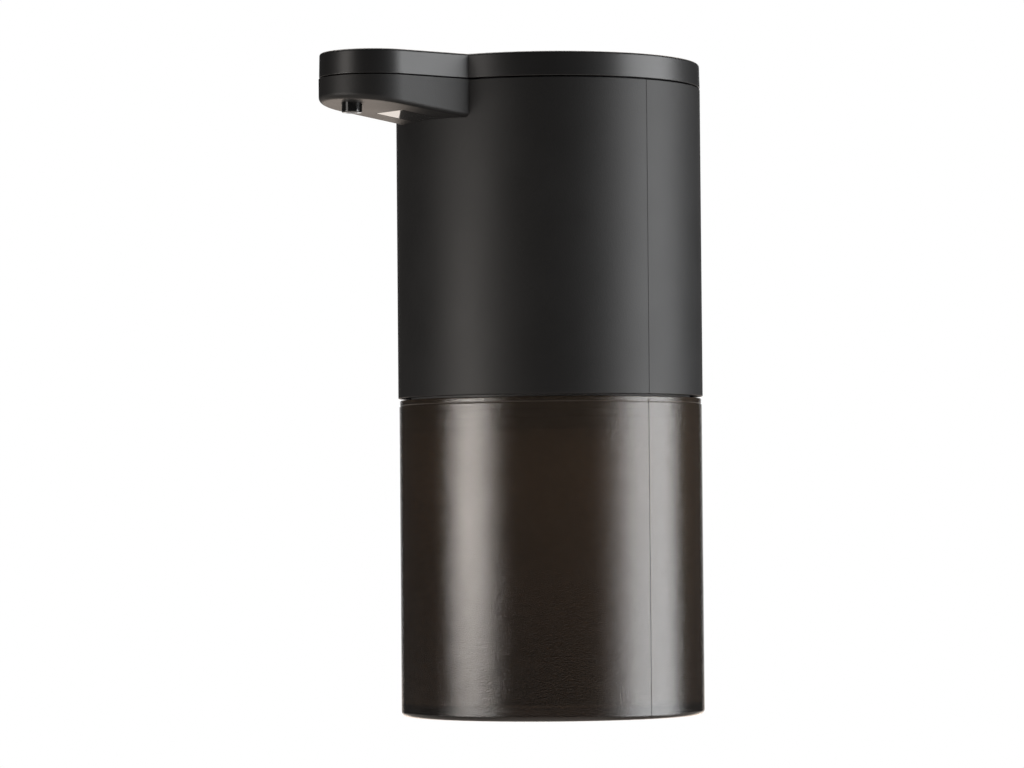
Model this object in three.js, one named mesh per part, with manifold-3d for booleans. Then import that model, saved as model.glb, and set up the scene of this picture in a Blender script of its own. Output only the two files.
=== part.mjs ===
// Wall-mounted automatic soap dispenser, in millimetres, +Z up.
//
// A round black housing with a short spout holds a peristaltic pump, its gears and motor, a
// rechargeable cell and the electronics. A smoked tank plugs in from below, and the whole dispenser
// hangs by two slots on a small wall bracket.
//
// Every piece is drawn in the dispenser's own frame: the housing's axis is x = y = 0, z = 0 is the
// tank's foot, the spout points to -Y and the wall is at +Y. The exported group moves that frame so
// that the origin is the middle of the bracket's face on the wall.
import * as THREE from "three";
import { mergeVertices } from "three/addons/utils/BufferGeometryUtils.js";
import Module from "manifold-3d";

const wasm = await Module();
wasm.setup();

// ---------------------------------------------------------------- driving dimensions

// Clearances.
const FIT = 0.3; // between pieces that seat in one another
const RUN = 0.15; // round a small turning or sliding piece
const SEAM = 0.3; // the open line between lid and housing
const TANK_SEAM = 0.5; // the open line between tank and housing

// Outer bodies.
const BODY_R = 37.5;
const BODY_WALL = 2;
const TANK_HEIGHT = 77.4;
const TANK_STEP = 0.25; // how much smaller the tank's radius is than the housing's
const TANK_WALL = 1.8;
const TANK_FLOOR = 2;
const HOUSING_HEIGHT = 75.6;
const LID_HEIGHT = 5.9;
const LID_TOP_WALL = 1.8;
const SKIRT_WALL = 1.2;
const SKIRT_DEPTH = 2.4;
const EDGE_ROUND = 0.7;
const FOOT_RECESS = 0.8;
const FOOT_WIDTH = 3.2;
const RIM_BAND = 1.2; // plain band at the tank's mouth
const RIM_INSET = 0.15;

// Spout.
const SPOUT_REACH = 66.9; // tip to the housing's axis
const SPOUT_TIP_R = 12.75;
const SPOUT_TAPER = THREE.MathUtils.degToRad(1.5);
const SPOUT_ROOT_DEPTH = 8.85; // below the lid's seam, where the spout leaves the housing
const SPOUT_RISE = 0.119; // how fast its underside climbs towards the tip
const SPOUT_EDGE = 1.2; // chamfer round the underside
const NOZZLE_FROM_TIP = 6.75;
const NOZZLE_R = 2.42;
const NOZZLE_BORE_R = 1.4;
const NOZZLE_DROP = 2.2; // how far it stands out of the underside
const NOZZLE_CHAMFER = 0.35;
const NOZZLE_FLANGE_R = 3.8;
const SPIGOT = 3; // length of the nozzle's spigot inside the hose
const SPIGOT_BORE_R = 0.6;
const WINDOW_LENGTH = 10.9;
const WINDOW_WIDTH = 10.6;
const WINDOW_THICK = 1.5;
const WINDOW_FROM_BODY = 0.7;
const SENSOR_BOARD_THICK = 1;
const LAMP_R = 1.5;
const LAMP_FLANGE_R = 1.8;
const LAMP_HEIGHT = 3.3;
const LAMP_PITCH = 5.2;

// Deck that closes the housing and plugs the tank.
const DECK_GAP = 0.6; // above the housing's lower edge
const DECK_THICK = 2.4;
const PLUG_DEPTH = 9;
const PLUG_WALL = 2.2;
const PLUG_SIDE_GAP = 1.15; // to the tank's wall
const SEAL_R = 1.1;
const SEAL_DROP = 5;
const DECK_SCREW_ANGLES = [140, 255, 345].map(THREE.MathUtils.degToRad);
const BOSS_R = 3;
const BOSS_HEIGHT = 10;
const SCREW_R = 1;
const SCREW_HOLE_R = 1.2;
const SCREW_HEAD_R = 2;
const SCREW_HEAD = 1.3;
const SCREW_SOCKET_R = 0.9;
const SCREW_SOCKET = 0.7;
const SCREW_BITE = 7; // length of thread in a boss
const GROMMET_WALL = 1.2;
const GROMMET_LIP = 0.9;
const VENT_X = 14;
const VENT_R = 0.6; // lets air into the tank as soap leaves it
const BOARD_SLOT_HEIGHT = 8;
const BOARD_SLOT_WIDTH = 3;
const BOARD_SLOT_WALL = 1.2;

// Wall bracket.
const WALL_GAP = 1; // between the housing's back and the wall
const PAD_THICK = 0.8;
const PLATE_WIDTH = 22;
const PLATE_HEIGHT = 48;
const PLATE_THICK = 3;
const PLATE_BELOW_TOP = 6.1; // plate's top edge below the housing's top edge
const HOOK_WIDTH = 10;
const HOOK_POST = 3;
const HOOK_TONGUE = 7;
const HOOK_THICK = 2;
const HOOK_PITCH = 16;
const LIFT = 7.4; // the housing rises this far to come off the hooks
const WALL_SCREW_PITCH = 37;
const WALL_SCREW_HOLE_R = 2.25;
const WALL_SCREW_SINK_R = 3.8;
const WALL_SCREW_SINK = 1.6;

// Pump.
const PUMP_FORWARD = 9; // pump's axis in front of the housing's axis
const HOSE_R = 2;
const HOSE_BORE_R = 1.2;
const ROLLER_ORBIT = 4.8;
const PUMP_WALL = 1.9;
const PUMP_FLOOR = 1.5;
const PUMP_COVER = 1.4;
const FLANGE_THICK = 1;
const ROLLER_R = 2.4;
const ROLLER_HEIGHT = 5;
const ROLLER_GAP = 0.2; // roller's end play in the rotor, each side
const ROLLER_PIN_R = 0.8;
const HUB_R = 2.1;
const NECK_R = 3;
const AXLE_R = 1;
const ROLLERS = 3;
const HOSE_LEG = 16; // from the pump's axis to the hose's ends
const EAR_R = 2.6;
const EAR_FROM_CASE = 2.5;
const EAR_ANGLES = [75, 180, 285].map(THREE.MathUtils.degToRad);

// Gears, in a reverted train: motor pinion, idler's wheel, idler's pinion, rotor's wheel.
const GEAR_MODULE = 0.5;
const WHEEL_TEETH = 40;
const PINION_TEETH = 10;
const WHEEL_THICK = 2.6;
const GEAR_STEP = 0.4; // clear height between the two layers of gears
const PRESSURE_ANGLE = THREE.MathUtils.degToRad(20);
const BACKLASH = 0.09; // taken off each tooth's width, at the pitch circle
const DRIVE_FLATS = 3.6;
const IDLER_PIN_R = 0.9;
const GEAR_PLATE = 1.6;

// Motor.
const MOTOR_R = 12.2;
const MOTOR_LENGTH = 24;
const MOTOR_CAP = 2.4;
const MOTOR_BOSS_R = 3;
const MOTOR_BOSS = 1.2;
const MOTOR_EDGE = 0.6;
const TAG_X = 8;
const TAG_HEIGHT = 3.5;
const TAG_WIDTH = 2.4;
const TAG_THICK = 0.5;

// Cell and boards.
const CELL_R = 7.1;
const CELL_LENGTH = 50;
const CELL_ANGLE = THREE.MathUtils.degToRad(25);
const CUP_WALL = 1.4;
const CUP_HEIGHT = 14;
const CUP_FLOOR = 1.2;
const BOARD_WIDTH = 34;
const BOARD_HEIGHT = 34;
const BOARD_THICK = 1.6;
const SMALL_BOARD_THICK = 1.2;
const USB_WIDTH = 8.9;
const USB_HEIGHT = 3.2;
const USB_DEPTH = 7.3;
const BATTERY_PLUG_X = -10;
const BATTERY_PLUG_DEPTH = 5.5;
const BATTERY_PLUG_ABOVE_PORT = 18;
const WIRE_R = 0.6;
const LEAD_R = 1;
const PORT_ABOVE_DECK = 5.2;
const COVER_WIDTH = 12;
const COVER_HEIGHT = 5.2;
const COVER_THICK = 1;

// Button and status light in the lid.
const BUTTON_R = 7;
const BUTTON_PROUD = 0.2;
const BUTTON_FLANGE = 1.2;
const BUTTON_STEM_R = 2.5;
const SWITCH_SIZE = 6;
const SWITCH_HEIGHT = 3.5;
const PLUNGER_R = 1.6;
const PLUNGER_PROUD = 0.8;
const PLUNGER_DEPTH = 1.6; // of the plunger's foot above the switch's floor
const STEM_LENGTH = 1.9;
const BOARD_POST_X = 10.5;
const BOARD_POST_R = 1.6;
const LIGHT_R = 1.1;
const LIGHT_FORWARD = 14;

// Dip tube.
const DIP_R = 2.5;
const DIP_BORE_R = 1.7;
const STRAINER_R = 4.5;
const STRAINER_HEIGHT = 5;
const ABOVE_TANK_FLOOR = 2;

// Sides on round pieces.
const SIDES_BODY = 48;
const SIDES_LARGE = 28;
const SIDES_MEDIUM = 16;
const SIDES_SMALL = 10;
const SIDES_TIP = 14; // round half of the spout's tip
const SIDES_HOSE = 8;

// ---------------------------------------------------------------- derived sizes and places

const TANK_R = BODY_R - TANK_STEP;
const TANK_INNER_R = TANK_R - TANK_WALL;
const HOUSING_Z = TANK_HEIGHT + TANK_SEAM;
const HOUSING_TOP = HOUSING_Z + HOUSING_HEIGHT;
const LID_Z = HOUSING_TOP + SEAM;
const LID_TOP = LID_Z + LID_HEIGHT;
const LID_CEILING = LID_TOP - LID_TOP_WALL;
const BODY_INNER_R = BODY_R - BODY_WALL;

const DECK_Z = HOUSING_Z + DECK_GAP;
const DECK_TOP = DECK_Z + DECK_THICK;
const PLUG_R = TANK_INNER_R - PLUG_SIDE_GAP;
const BOSS_RADIUS = PLUG_R - PLUG_WALL - SCREW_HEAD_R - FIT;

// The spout's underside is a plane that climbs from the housing to the tip.
const underside = (y) => HOUSING_TOP - SPOUT_ROOT_DEPTH + SPOUT_RISE * (-y - BODY_R);
const UNDERSIDE_TILT = Math.atan(SPOUT_RISE);
const SPOUT_CENTRE_Y = -(SPOUT_REACH - SPOUT_TIP_R);
const NOZZLE_Y = -(SPOUT_REACH - NOZZLE_FROM_TIP);
const NOZZLE_Z = underside(NOZZLE_Y) - NOZZLE_DROP;
const WINDOW_Y = -(BODY_R + WINDOW_FROM_BODY + WINDOW_LENGTH / 2);
const SPOUT_HOSE_Z = LID_CEILING - HOSE_R - 2 * FIT;
const LID_INSET = BODY_WALL + FIT + SKIRT_WALL; // from the lid's outline to the space inside it

const WALL_Y = BODY_R + WALL_GAP;
const PLATE_BACK = WALL_Y - PAD_THICK;
const PLATE_FRONT = PLATE_BACK - PLATE_THICK;
const PLATE_TOP = HOUSING_TOP - PLATE_BELOW_TOP;
const PLATE_Z = PLATE_TOP - PLATE_HEIGHT;
const PLATE_CENTRE = (PLATE_TOP + PLATE_Z) / 2;
const POCKET_FACE = PLATE_FRONT - FIT;
const POCKET_INNER = POCKET_FACE - BODY_WALL;
const POCKET_HALF = PLATE_WIDTH / 2 + 2 * FIT;
const POCKET_Z = PLATE_Z - LIFT - 2 * FIT;
const POCKET_TOP = PLATE_TOP + 2 * FIT;
const HOOK_BACK = POCKET_INNER - FIT;
const HOOK_TOPS = [-1, 1].map((side) => PLATE_CENTRE + (side * HOOK_PITCH) / 2 - 1);

const PUMP_Y = -PUMP_FORWARD;
const HOSE_LINE_R = ROLLER_ORBIT + ROLLER_R + FIT + HOSE_R;
const RACE_R = HOSE_LINE_R + HOSE_R + 0.1;
const CASE_R = RACE_R + PUMP_WALL;
const FLANGE_R = ROLLER_ORBIT + ROLLER_PIN_R + 1;
const ROTOR_Z = DECK_TOP + PUMP_FLOOR + FIT;
const ROLLER_Z = ROTOR_Z + FLANGE_THICK + ROLLER_GAP;
const HOSE_Z = ROLLER_Z + ROLLER_HEIGHT / 2;
const ROTOR_TOP = ROLLER_Z + ROLLER_HEIGHT + ROLLER_GAP + FLANGE_THICK;
const COVER_Z = ROTOR_TOP + FIT;
const COVER_TOP = COVER_Z + PUMP_COVER;
const LOW_GEAR_Z = COVER_TOP + GEAR_STEP;
const LOW_GEAR_TOP = LOW_GEAR_Z + WHEEL_THICK;
const HIGH_GEAR_Z = LOW_GEAR_TOP + GEAR_STEP;
const HIGH_GEAR_TOP = HIGH_GEAR_Z + WHEEL_THICK;
const PLATE_UNDER = HIGH_GEAR_TOP + 2 * GEAR_STEP;
const MOTOR_Z = PLATE_UNDER + GEAR_PLATE;
const MOTOR_TOP = MOTOR_Z + MOTOR_LENGTH;
const GEAR_CENTRES = (GEAR_MODULE * (WHEEL_TEETH + PINION_TEETH)) / 2;
const IDLER_X = GEAR_CENTRES;
const EAR_RADIUS = CASE_R + EAR_FROM_CASE;
const EARS = EAR_ANGLES.map((a) => [
  EAR_RADIUS * Math.cos(a),
  PUMP_Y + EAR_RADIUS * Math.sin(a),
]);

const ELBOW_X = -(HOSE_LEG + 3.5);
const INLET_Y = PUMP_Y + HOSE_LINE_R;
const OUTLET_Y = PUMP_Y - HOSE_LINE_R;
const DIP_TOP = DECK_Z - PLUG_DEPTH;
const DIP_Z = TANK_FLOOR + ABOVE_TANK_FLOOR;
const GROMMET_R = DIP_R + GROMMET_WALL;

const CUP_R = CELL_R + RUN + CUP_WALL;
const CELL_RADIUS = BODY_INNER_R - CUP_R - FIT;
const CELL_X = CELL_RADIUS * Math.cos(CELL_ANGLE);
const CELL_Y = CELL_RADIUS * Math.sin(CELL_ANGLE);
const PORT_Z = DECK_TOP + PORT_ABOVE_DECK;
const BATTERY_PLUG_Z = PORT_Z + BATTERY_PLUG_ABOVE_PORT;
const PORT_FLOOR = BODY_R - COVER_THICK - 2 * RUN - 0.2;
const USB_END = PORT_FLOOR - 0.1;
const BOARD_BACK = USB_END - USB_DEPTH;
const BOARD_Y = BOARD_BACK - BOARD_THICK / 2;
const BOARD_Z = DECK_TOP + 2;
const COVER_HINGE_Z = PORT_Z + COVER_HEIGHT / 2 - COVER_THICK / 2;
const COVER_Y = PORT_FLOOR + RUN + COVER_THICK / 2;

const BUTTON_Z = LID_CEILING - BUTTON_FLANGE - 0.1;
const PLUNGER_TOP = BUTTON_Z - STEM_LENGTH - 0.1;
const BUTTON_BOARD_TOP = PLUNGER_TOP - PLUNGER_PROUD - SWITCH_HEIGHT;

// ---------------------------------------------------------------- making solids

/** A closed geometry as a manifold-3d solid, facing out whichever way its outline ran. */
function solid(geometry) {
  const plain = geometry.index ? geometry.toNonIndexed() : geometry.clone();
  for (const name of Object.keys(plain.attributes)) {
    if (name !== "position") plain.deleteAttribute(name);
  }
  const merged = mergeVertices(plain, 1e-4);
  const corners = merged.index.array;
  const kept = [];
  for (let i = 0; i < corners.length; i += 3) {
    const [a, b, c] = [corners[i], corners[i + 1], corners[i + 2]];
    if (a !== b && b !== c && c !== a) kept.push(a, b, c);
  }
  const build = (triangles) =>
    new wasm.Manifold(
      new wasm.Mesh({
        numProp: 3,
        vertProperties: new Float32Array(merged.attributes.position.array),
        triVerts: new Uint32Array(triangles),
      }),
    );
  const made = build(kept);
  if (made.volume() > 0) return made;
  return build(kept.slice().reverse());
}

/** A solid as the named mesh of one piece. */
function piece(name, made, material) {
  const { numProp, vertProperties, triVerts } = made.getMesh();
  const count = vertProperties.length / numProp;
  const positions = new Float32Array(count * 3);
  for (let i = 0; i < count; i++) {
    for (let k = 0; k < 3; k++) positions[3 * i + k] = vertProperties[numProp * i + k];
  }
  const geometry = new THREE.BufferGeometry();
  geometry.setAttribute("position", new THREE.BufferAttribute(positions, 3));
  geometry.setIndex(new THREE.BufferAttribute(new Uint32Array(triVerts), 1));
  geometry.computeVertexNormals();
  const mesh = new THREE.Mesh(geometry, material);
  mesh.name = name;
  return mesh;
}

/** Points along an arc, both ends included. */
function arc(x, y, r, from, to, count) {
  return Array.from({ length: count + 1 }, (_, i) => {
    const a = from + ((to - from) * i) / count;
    return new THREE.Vector2(x + r * Math.cos(a), y + r * Math.sin(a));
  });
}

/** A regular polygon's corners, for a round outline. */
const ringPoints = (x, y, r, sides) => arc(x, y, r, 0, 2 * Math.PI, sides).slice(0, -1);

/** An outline, with any holes, extruded from z0 to z1. */
function prism(points, z0, z1, holes = []) {
  const shape = new THREE.Shape(points);
  shape.holes = holes.map((hole) => new THREE.Path(hole));
  const geometry = new THREE.ExtrudeGeometry(shape, { depth: z1 - z0, bevelEnabled: false });
  return solid(geometry.translate(0, 0, z0));
}

const disc = (x, y, r, z0, z1, sides) => prism(ringPoints(x, y, r, sides), z0, z1);

const ring = (x, y, r, bore, z0, z1, sides) =>
  prism(ringPoints(x, y, r, sides), z0, z1, [ringPoints(x, y, bore, sides)]);

/** A box between two corners. */
function block(x0, y0, z0, x1, y1, z1) {
  const geometry = new THREE.BoxGeometry(x1 - x0, y1 - y0, z1 - z0);
  return solid(geometry.translate((x0 + x1) / 2, (y0 + y1) / 2, (z0 + z1) / 2));
}

/** A profile of [radius, z] pairs turned about the Z axis. */
function turned(profile, sides) {
  const points = profile.map(([r, z]) => new THREE.Vector2(r, z));
  return solid(new THREE.LatheGeometry(points, sides).rotateX(Math.PI / 2));
}

/** A hose or wire along a smooth path. */
function hose(path, r, bore, sides, steps) {
  const section = new THREE.Shape(ringPoints(0, 0, r, sides));
  if (bore) section.holes = [new THREE.Path(ringPoints(0, 0, bore, sides))];
  const settings = { steps, extrudePath: path, bevelEnabled: false };
  return solid(new THREE.ExtrudeGeometry(section, settings));
}

const smooth = (points) =>
  new THREE.CatmullRomCurve3(
    points.map((p) => new THREE.Vector3(...p)),
    false,
    "centripetal",
  );

const join = (...parts) => parts.reduce((a, b) => a.add(b));
const cut = (whole, ...parts) => parts.reduce((a, b) => a.subtract(b), whole);

// ---------------------------------------------------------------- outlines

/** The spout's plan, inset all round: a round tip and two sides that open a little to the body. */
function spoutOutline(inset) {
  const r = SPOUT_TIP_R - inset;
  const side = (sign) => {
    const touch = [r * Math.cos(SPOUT_TAPER) * sign, -r * Math.sin(SPOUT_TAPER)];
    const rootX = touch[0] - sign * Math.tan(SPOUT_TAPER) * (SPOUT_CENTRE_Y + touch[1]);
    return new THREE.Vector2(rootX, 0);
  };
  const tip = arc(0, SPOUT_CENTRE_Y, r, -SPOUT_TAPER, -Math.PI + SPOUT_TAPER, SIDES_TIP);
  return [side(1), ...tip, side(-1)];
}

/** The lid's plan, inset all round: the housing's circle with the spout run out of it. */
function keyhole(inset, z0, z1) {
  return join(
    disc(0, 0, BODY_R - inset, z0, z1, SIDES_BODY),
    prism(spoutOutline(inset), z0, z1),
  );
}

/** Everything below the spout's underside, raised by some height; cuts the spout to its slope. */
function belowUnderside(raise) {
  const reach = SPOUT_REACH + 10;
  const slab = new THREE.Shape([
    new THREE.Vector2(0, underside(0) + raise),
    new THREE.Vector2(-reach, underside(-reach) + raise),
    new THREE.Vector2(-reach, 0),
    new THREE.Vector2(0, 0),
  ]);
  const width = 4 * SPOUT_TIP_R;
  const geometry = new THREE.ExtrudeGeometry(slab, { depth: width, bevelEnabled: false });
  geometry.rotateX(Math.PI / 2).rotateZ(Math.PI / 2);
  return solid(geometry.translate(-width / 2, 0, 0));
}

/** One gear's outline. A half-tooth turn puts a gap, not a tooth, on the +X axis. */
function gearOutline(teeth, turn) {
  const pitchR = (GEAR_MODULE * teeth) / 2;
  const baseR = pitchR * Math.cos(PRESSURE_ANGLE);
  const involute = (r) => {
    const a = Math.acos(Math.min(1, baseR / r));
    return Math.tan(a) - a;
  };
  const half = (r) =>
    Math.PI / (2 * teeth) + involute(pitchR) - involute(r) - BACKLASH / (2 * pitchR);
  const rootR = pitchR - 1.2 * GEAR_MODULE;
  const tipR = pitchR + 0.9 * GEAR_MODULE;
  const points = [];
  for (let i = 0; i < teeth; i++) {
    const middle = turn + (2 * Math.PI * i) / teeth;
    for (const [r, side] of [[rootR, -1], [tipR, -1], [tipR, 1], [rootR, 1]]) {
      const a = middle + side * half(r);
      points.push(new THREE.Vector2(r * Math.cos(a), r * Math.sin(a)));
    }
  }
  return points;
}

// ---------------------------------------------------------------- finishes

const finish = (color, roughness, metalness = 0) =>
  new THREE.MeshStandardMaterial({ color, roughness, metalness });
const MATTE_BLACK = finish(0x1d1d1e, 0.55);
const SATIN_BLACK = finish(0x1b1b1c, 0.38);
const GLOSS_BLACK = finish(0x060606, 0.08);
const SMOKED = new THREE.MeshStandardMaterial({
  color: 0x33291f,
  roughness: 0.3,
  transparent: true,
  opacity: 0.85,
});
const INNER_PLASTIC = finish(0x2a2b2d, 0.5);
const ACETAL = finish(0xe8e6df, 0.4);
const SILICONE = finish(0xd9d8d2, 0.5);
const RUBBER = finish(0x141414, 0.7);
const STEEL = finish(0xb9bbbd, 0.3, 1);
const CAN_STEEL = finish(0x9ea1a4, 0.35, 1);
const BOARD_GREEN = finish(0x1c5a34, 0.4);
const CHIP_BLACK = finish(0x121212, 0.45);
const CELL_WRAP = finish(0x2d6fae, 0.35);
const FOAM_TAPE = finish(0x3a3a3a, 0.9);
const WIRE_RED = finish(0xa61c1c, 0.4);
const LIGHT_WHITE = finish(0xe9efe9, 0.2);

// ---------------------------------------------------------------- wall bracket

function wallBracket() {
  const half = PLATE_WIDTH / 2;
  let made = block(-half, PLATE_FRONT, PLATE_Z, half, PLATE_BACK, PLATE_TOP);
  for (const top of HOOK_TOPS) {
    const x = HOOK_WIDTH / 2;
    const front = HOOK_BACK - HOOK_THICK;
    made = join(
      made,
      block(-x, front, top - HOOK_POST, x, PLATE_FRONT + 1, top),
      block(-x, front, top - 1, x, HOOK_BACK, top + HOOK_TONGUE),
    );
  }
  for (const z of wallScrewHeights()) {
    const sink = [
      [0, -1],
      [WALL_SCREW_HOLE_R, -1],
      [WALL_SCREW_HOLE_R, PLATE_THICK - WALL_SCREW_SINK],
      [WALL_SCREW_SINK_R, PLATE_THICK],
      [WALL_SCREW_SINK_R, PLATE_THICK + 1],
      [0, PLATE_THICK + 1],
    ];
    const hole = turned(sink, SIDES_MEDIUM).rotate([90, 0, 0]).translate([0, PLATE_BACK, z]);
    made = cut(made, hole);
  }
  return piece("wall_bracket", made, MATTE_BLACK);
}

const wallScrewHeights = () => [-1, 1].map((side) => PLATE_CENTRE + (side * WALL_SCREW_PITCH) / 2);

function adhesivePad() {
  const half = PLATE_WIDTH / 2 - 0.5;
  let made = block(-half, PLATE_BACK, PLATE_Z + 0.5, half, WALL_Y, PLATE_TOP - 0.5);
  for (const z of wallScrewHeights()) {
    const hole = disc(0, 0, WALL_SCREW_HOLE_R + 0.4, -1, PAD_THICK + 1, SIDES_MEDIUM);
    made = cut(made, hole.rotate([90, 0, 0]).translate([0, WALL_Y, z]));
  }
  return piece("adhesive_pad", made, FOAM_TAPE);
}

// ---------------------------------------------------------------- housing, lid and spout pieces

/** The spout's solid below the lid's seam, with the chamfer round its underside. */
function spoutBlock(inset, raise) {
  const chamfer = [
    [0, SPOUT_EDGE],
    [SPOUT_EDGE / 3, SPOUT_EDGE / 3],
    [SPOUT_EDGE, 0],
  ];
  const steps = inset ? [[inset, 0]] : chamfer;
  const layers = steps.map(([shrink, lift]) =>
    cut(prism(spoutOutline(shrink), HOUSING_Z, HOUSING_TOP), belowUnderside(raise + lift)),
  );
  return join(...layers);
}

function housingShell() {
  const outer = join(
    disc(0, 0, BODY_R, HOUSING_Z, HOUSING_TOP, SIDES_BODY),
    spoutBlock(0, 0),
  );
  const cavity = join(
    disc(0, 0, BODY_INNER_R, HOUSING_Z - 1, HOUSING_TOP + 1, SIDES_BODY),
    spoutBlock(BODY_WALL, BODY_WALL).add(
      prism(spoutOutline(BODY_WALL), HOUSING_TOP - 1, HOUSING_TOP + 1),
    ),
  );
  let made = cut(outer, cavity);

  // The bracket's pocket: a flat floor let into the back, with the hooks' slots through it.
  const wallHalf = POCKET_HALF + BODY_WALL;
  const backing = block(
    -wallHalf, POCKET_INNER, POCKET_Z - BODY_WALL,
    wallHalf, BODY_R, POCKET_TOP + BODY_WALL,
  ).intersect(disc(0, 0, BODY_R - BODY_WALL / 2, HOUSING_Z, HOUSING_TOP, SIDES_BODY));
  made = cut(
    made.add(backing),
    block(-POCKET_HALF, POCKET_FACE, POCKET_Z, POCKET_HALF, BODY_R + 1, POCKET_TOP),
  );
  for (const top of HOOK_TOPS) {
    const x = HOOK_WIDTH / 2 + FIT;
    const low = top - HOOK_POST - HOOK_TONGUE - 2 * FIT;
    made = cut(made, block(-x, POCKET_INNER - 1, low, x, POCKET_FACE + 1, top + RUN));
  }

  // The charging port: a thicker wall, a recess for its cover and the socket's opening.
  const coverHalf = COVER_WIDTH / 2 + 2 * RUN;
  const recessLow = PORT_Z - COVER_HEIGHT / 2 - RUN;
  const recessTop = PORT_Z + COVER_HEIGHT / 2 + 2 * RUN;
  const thick = block(
    -coverHalf - 2, PORT_FLOOR - 2, recessLow - 1,
    coverHalf + 2, BODY_R, recessTop + 1,
  ).intersect(disc(0, 0, BODY_R - BODY_WALL / 2, HOUSING_Z, HOUSING_TOP, SIDES_BODY));
  made = cut(
    made.add(thick),
    block(-coverHalf, PORT_FLOOR, recessLow, coverHalf, BODY_R + 1, recessTop),
    block(
      -USB_WIDTH / 2 - FIT, BOARD_BACK, PORT_Z - USB_HEIGHT / 2 - FIT,
      USB_WIDTH / 2 + FIT, BODY_R, PORT_Z + USB_HEIGHT / 2 + FIT,
    ),
  );

  // Bosses that the deck's screws bite into.
  for (const a of DECK_SCREW_ANGLES) {
    const [x, y] = [BOSS_RADIUS * Math.cos(a), BOSS_RADIUS * Math.sin(a)];
    const boss = join(
      disc(x, y, BOSS_R, DECK_TOP, DECK_TOP + BOSS_HEIGHT, SIDES_SMALL),
      block(0, -1, DECK_TOP, BODY_INNER_R - BOSS_RADIUS + BODY_WALL / 2, 1, DECK_TOP + BOSS_HEIGHT)
        .rotate([0, 0, THREE.MathUtils.radToDeg(a)])
        .translate([x, y, 0]),
    );
    const pilot = disc(x, y, SCREW_HOLE_R, DECK_TOP - 1, DECK_TOP + BOSS_HEIGHT - 1.5, SIDES_SMALL);
    made = cut(made.add(boss), pilot);
  }

  // Openings in the spout's floor.
  const nozzleHole = disc(0, NOZZLE_Y, NOZZLE_R + RUN, NOZZLE_Z, HOUSING_TOP, SIDES_MEDIUM);
  return piece("housing", cut(made, nozzleHole, windowBlock(RUN)), MATTE_BLACK);
}

/** The window's plate in the tilted underside, or the hole for it when it is grown. */
function windowBlock(grow) {
  const x = WINDOW_WIDTH / 2 + grow;
  const y = WINDOW_LENGTH / 2 + grow;
  const low = grow ? -1 : 0;
  const high = grow ? 3 * BODY_WALL : WINDOW_THICK;
  return block(-x, -y, low, x, y, high)
    .rotate([-THREE.MathUtils.radToDeg(UNDERSIDE_TILT), 0, 0])
    .translate([0, WINDOW_Y, underside(WINDOW_Y)]);
}

function lid() {
  const top = join(
    keyhole(0, LID_Z, LID_TOP - EDGE_ROUND),
    keyhole(EDGE_ROUND * 0.3, LID_TOP - EDGE_ROUND - 0.01, LID_TOP - EDGE_ROUND * 0.3),
    keyhole(EDGE_ROUND, LID_TOP - EDGE_ROUND * 0.31, LID_TOP),
  );
  const skirt = keyhole(BODY_WALL + FIT, LID_Z - SKIRT_DEPTH, LID_Z + 0.5);
  let made = cut(
    join(top, skirt),
    keyhole(LID_INSET, LID_Z - SKIRT_DEPTH - 1, LID_CEILING),
    disc(0, NOZZLE_Y, NOZZLE_FLANGE_R + FIT, LID_Z - SKIRT_DEPTH - 1, LID_Z, SIDES_MEDIUM),
    belowUnderside(BODY_WALL + FIT),
  );
  // Posts that carry the button's board.
  for (const x of [-1, 1]) {
    made = join(
      made,
      disc(
        x * BOARD_POST_X, 0, BOARD_POST_R,
        BUTTON_BOARD_TOP + FIT, LID_CEILING + 0.5, SIDES_SMALL,
      ),
    );
  }
  made = cut(
    made,
    disc(0, 0, BUTTON_R + RUN, LID_CEILING - 1, LID_TOP + 1, SIDES_LARGE),
    disc(0, -LIGHT_FORWARD, LIGHT_R + RUN, LID_CEILING - 1, LID_TOP + 1, SIDES_SMALL),
  );
  return piece("lid", made, SATIN_BLACK);
}

/** The outlet's elbow: a tube through the spout's floor and a spigot back towards the pump. */
function nozzle() {
  const seat = underside(NOZZLE_Y) + BODY_WALL + 2 * FIT;
  const spigotR = HOSE_BORE_R - RUN;
  const body = turned(
    [
      [0, NOZZLE_Z],
      [NOZZLE_R - NOZZLE_CHAMFER, NOZZLE_Z],
      [NOZZLE_R, NOZZLE_Z + NOZZLE_CHAMFER],
      [NOZZLE_R, seat],
      [NOZZLE_FLANGE_R, seat],
      [NOZZLE_FLANGE_R, seat + 1.2],
      [NOZZLE_R, seat + 1.2],
      [NOZZLE_R, SPOUT_HOSE_Z + NOZZLE_R - 0.5],
      [0, SPOUT_HOSE_Z + NOZZLE_R - 0.5],
    ],
    SIDES_MEDIUM,
  );
  const along = (r, from, to) =>
    disc(0, 0, r, from, to, SIDES_SMALL).rotate([-90, 0, 0]).translate([0, 0, SPOUT_HOSE_Z]);
  const made = cut(
    body.add(along(spigotR, 0, NOZZLE_R + SPIGOT)),
    disc(0, 0, NOZZLE_BORE_R, NOZZLE_Z - 1, NOZZLE_Z + 3, SIDES_SMALL),
    disc(0, 0, SPIGOT_BORE_R, NOZZLE_Z, SPOUT_HOSE_Z, SIDES_SMALL),
    along(SPIGOT_BORE_R, 0, NOZZLE_R + SPIGOT + 1),
  );
  return piece("nozzle", made.translate([0, NOZZLE_Y, 0]), GLOSS_BLACK);
}

const sensorWindow = () => piece("sensor_window", windowBlock(0), GLOSS_BLACK);

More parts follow.
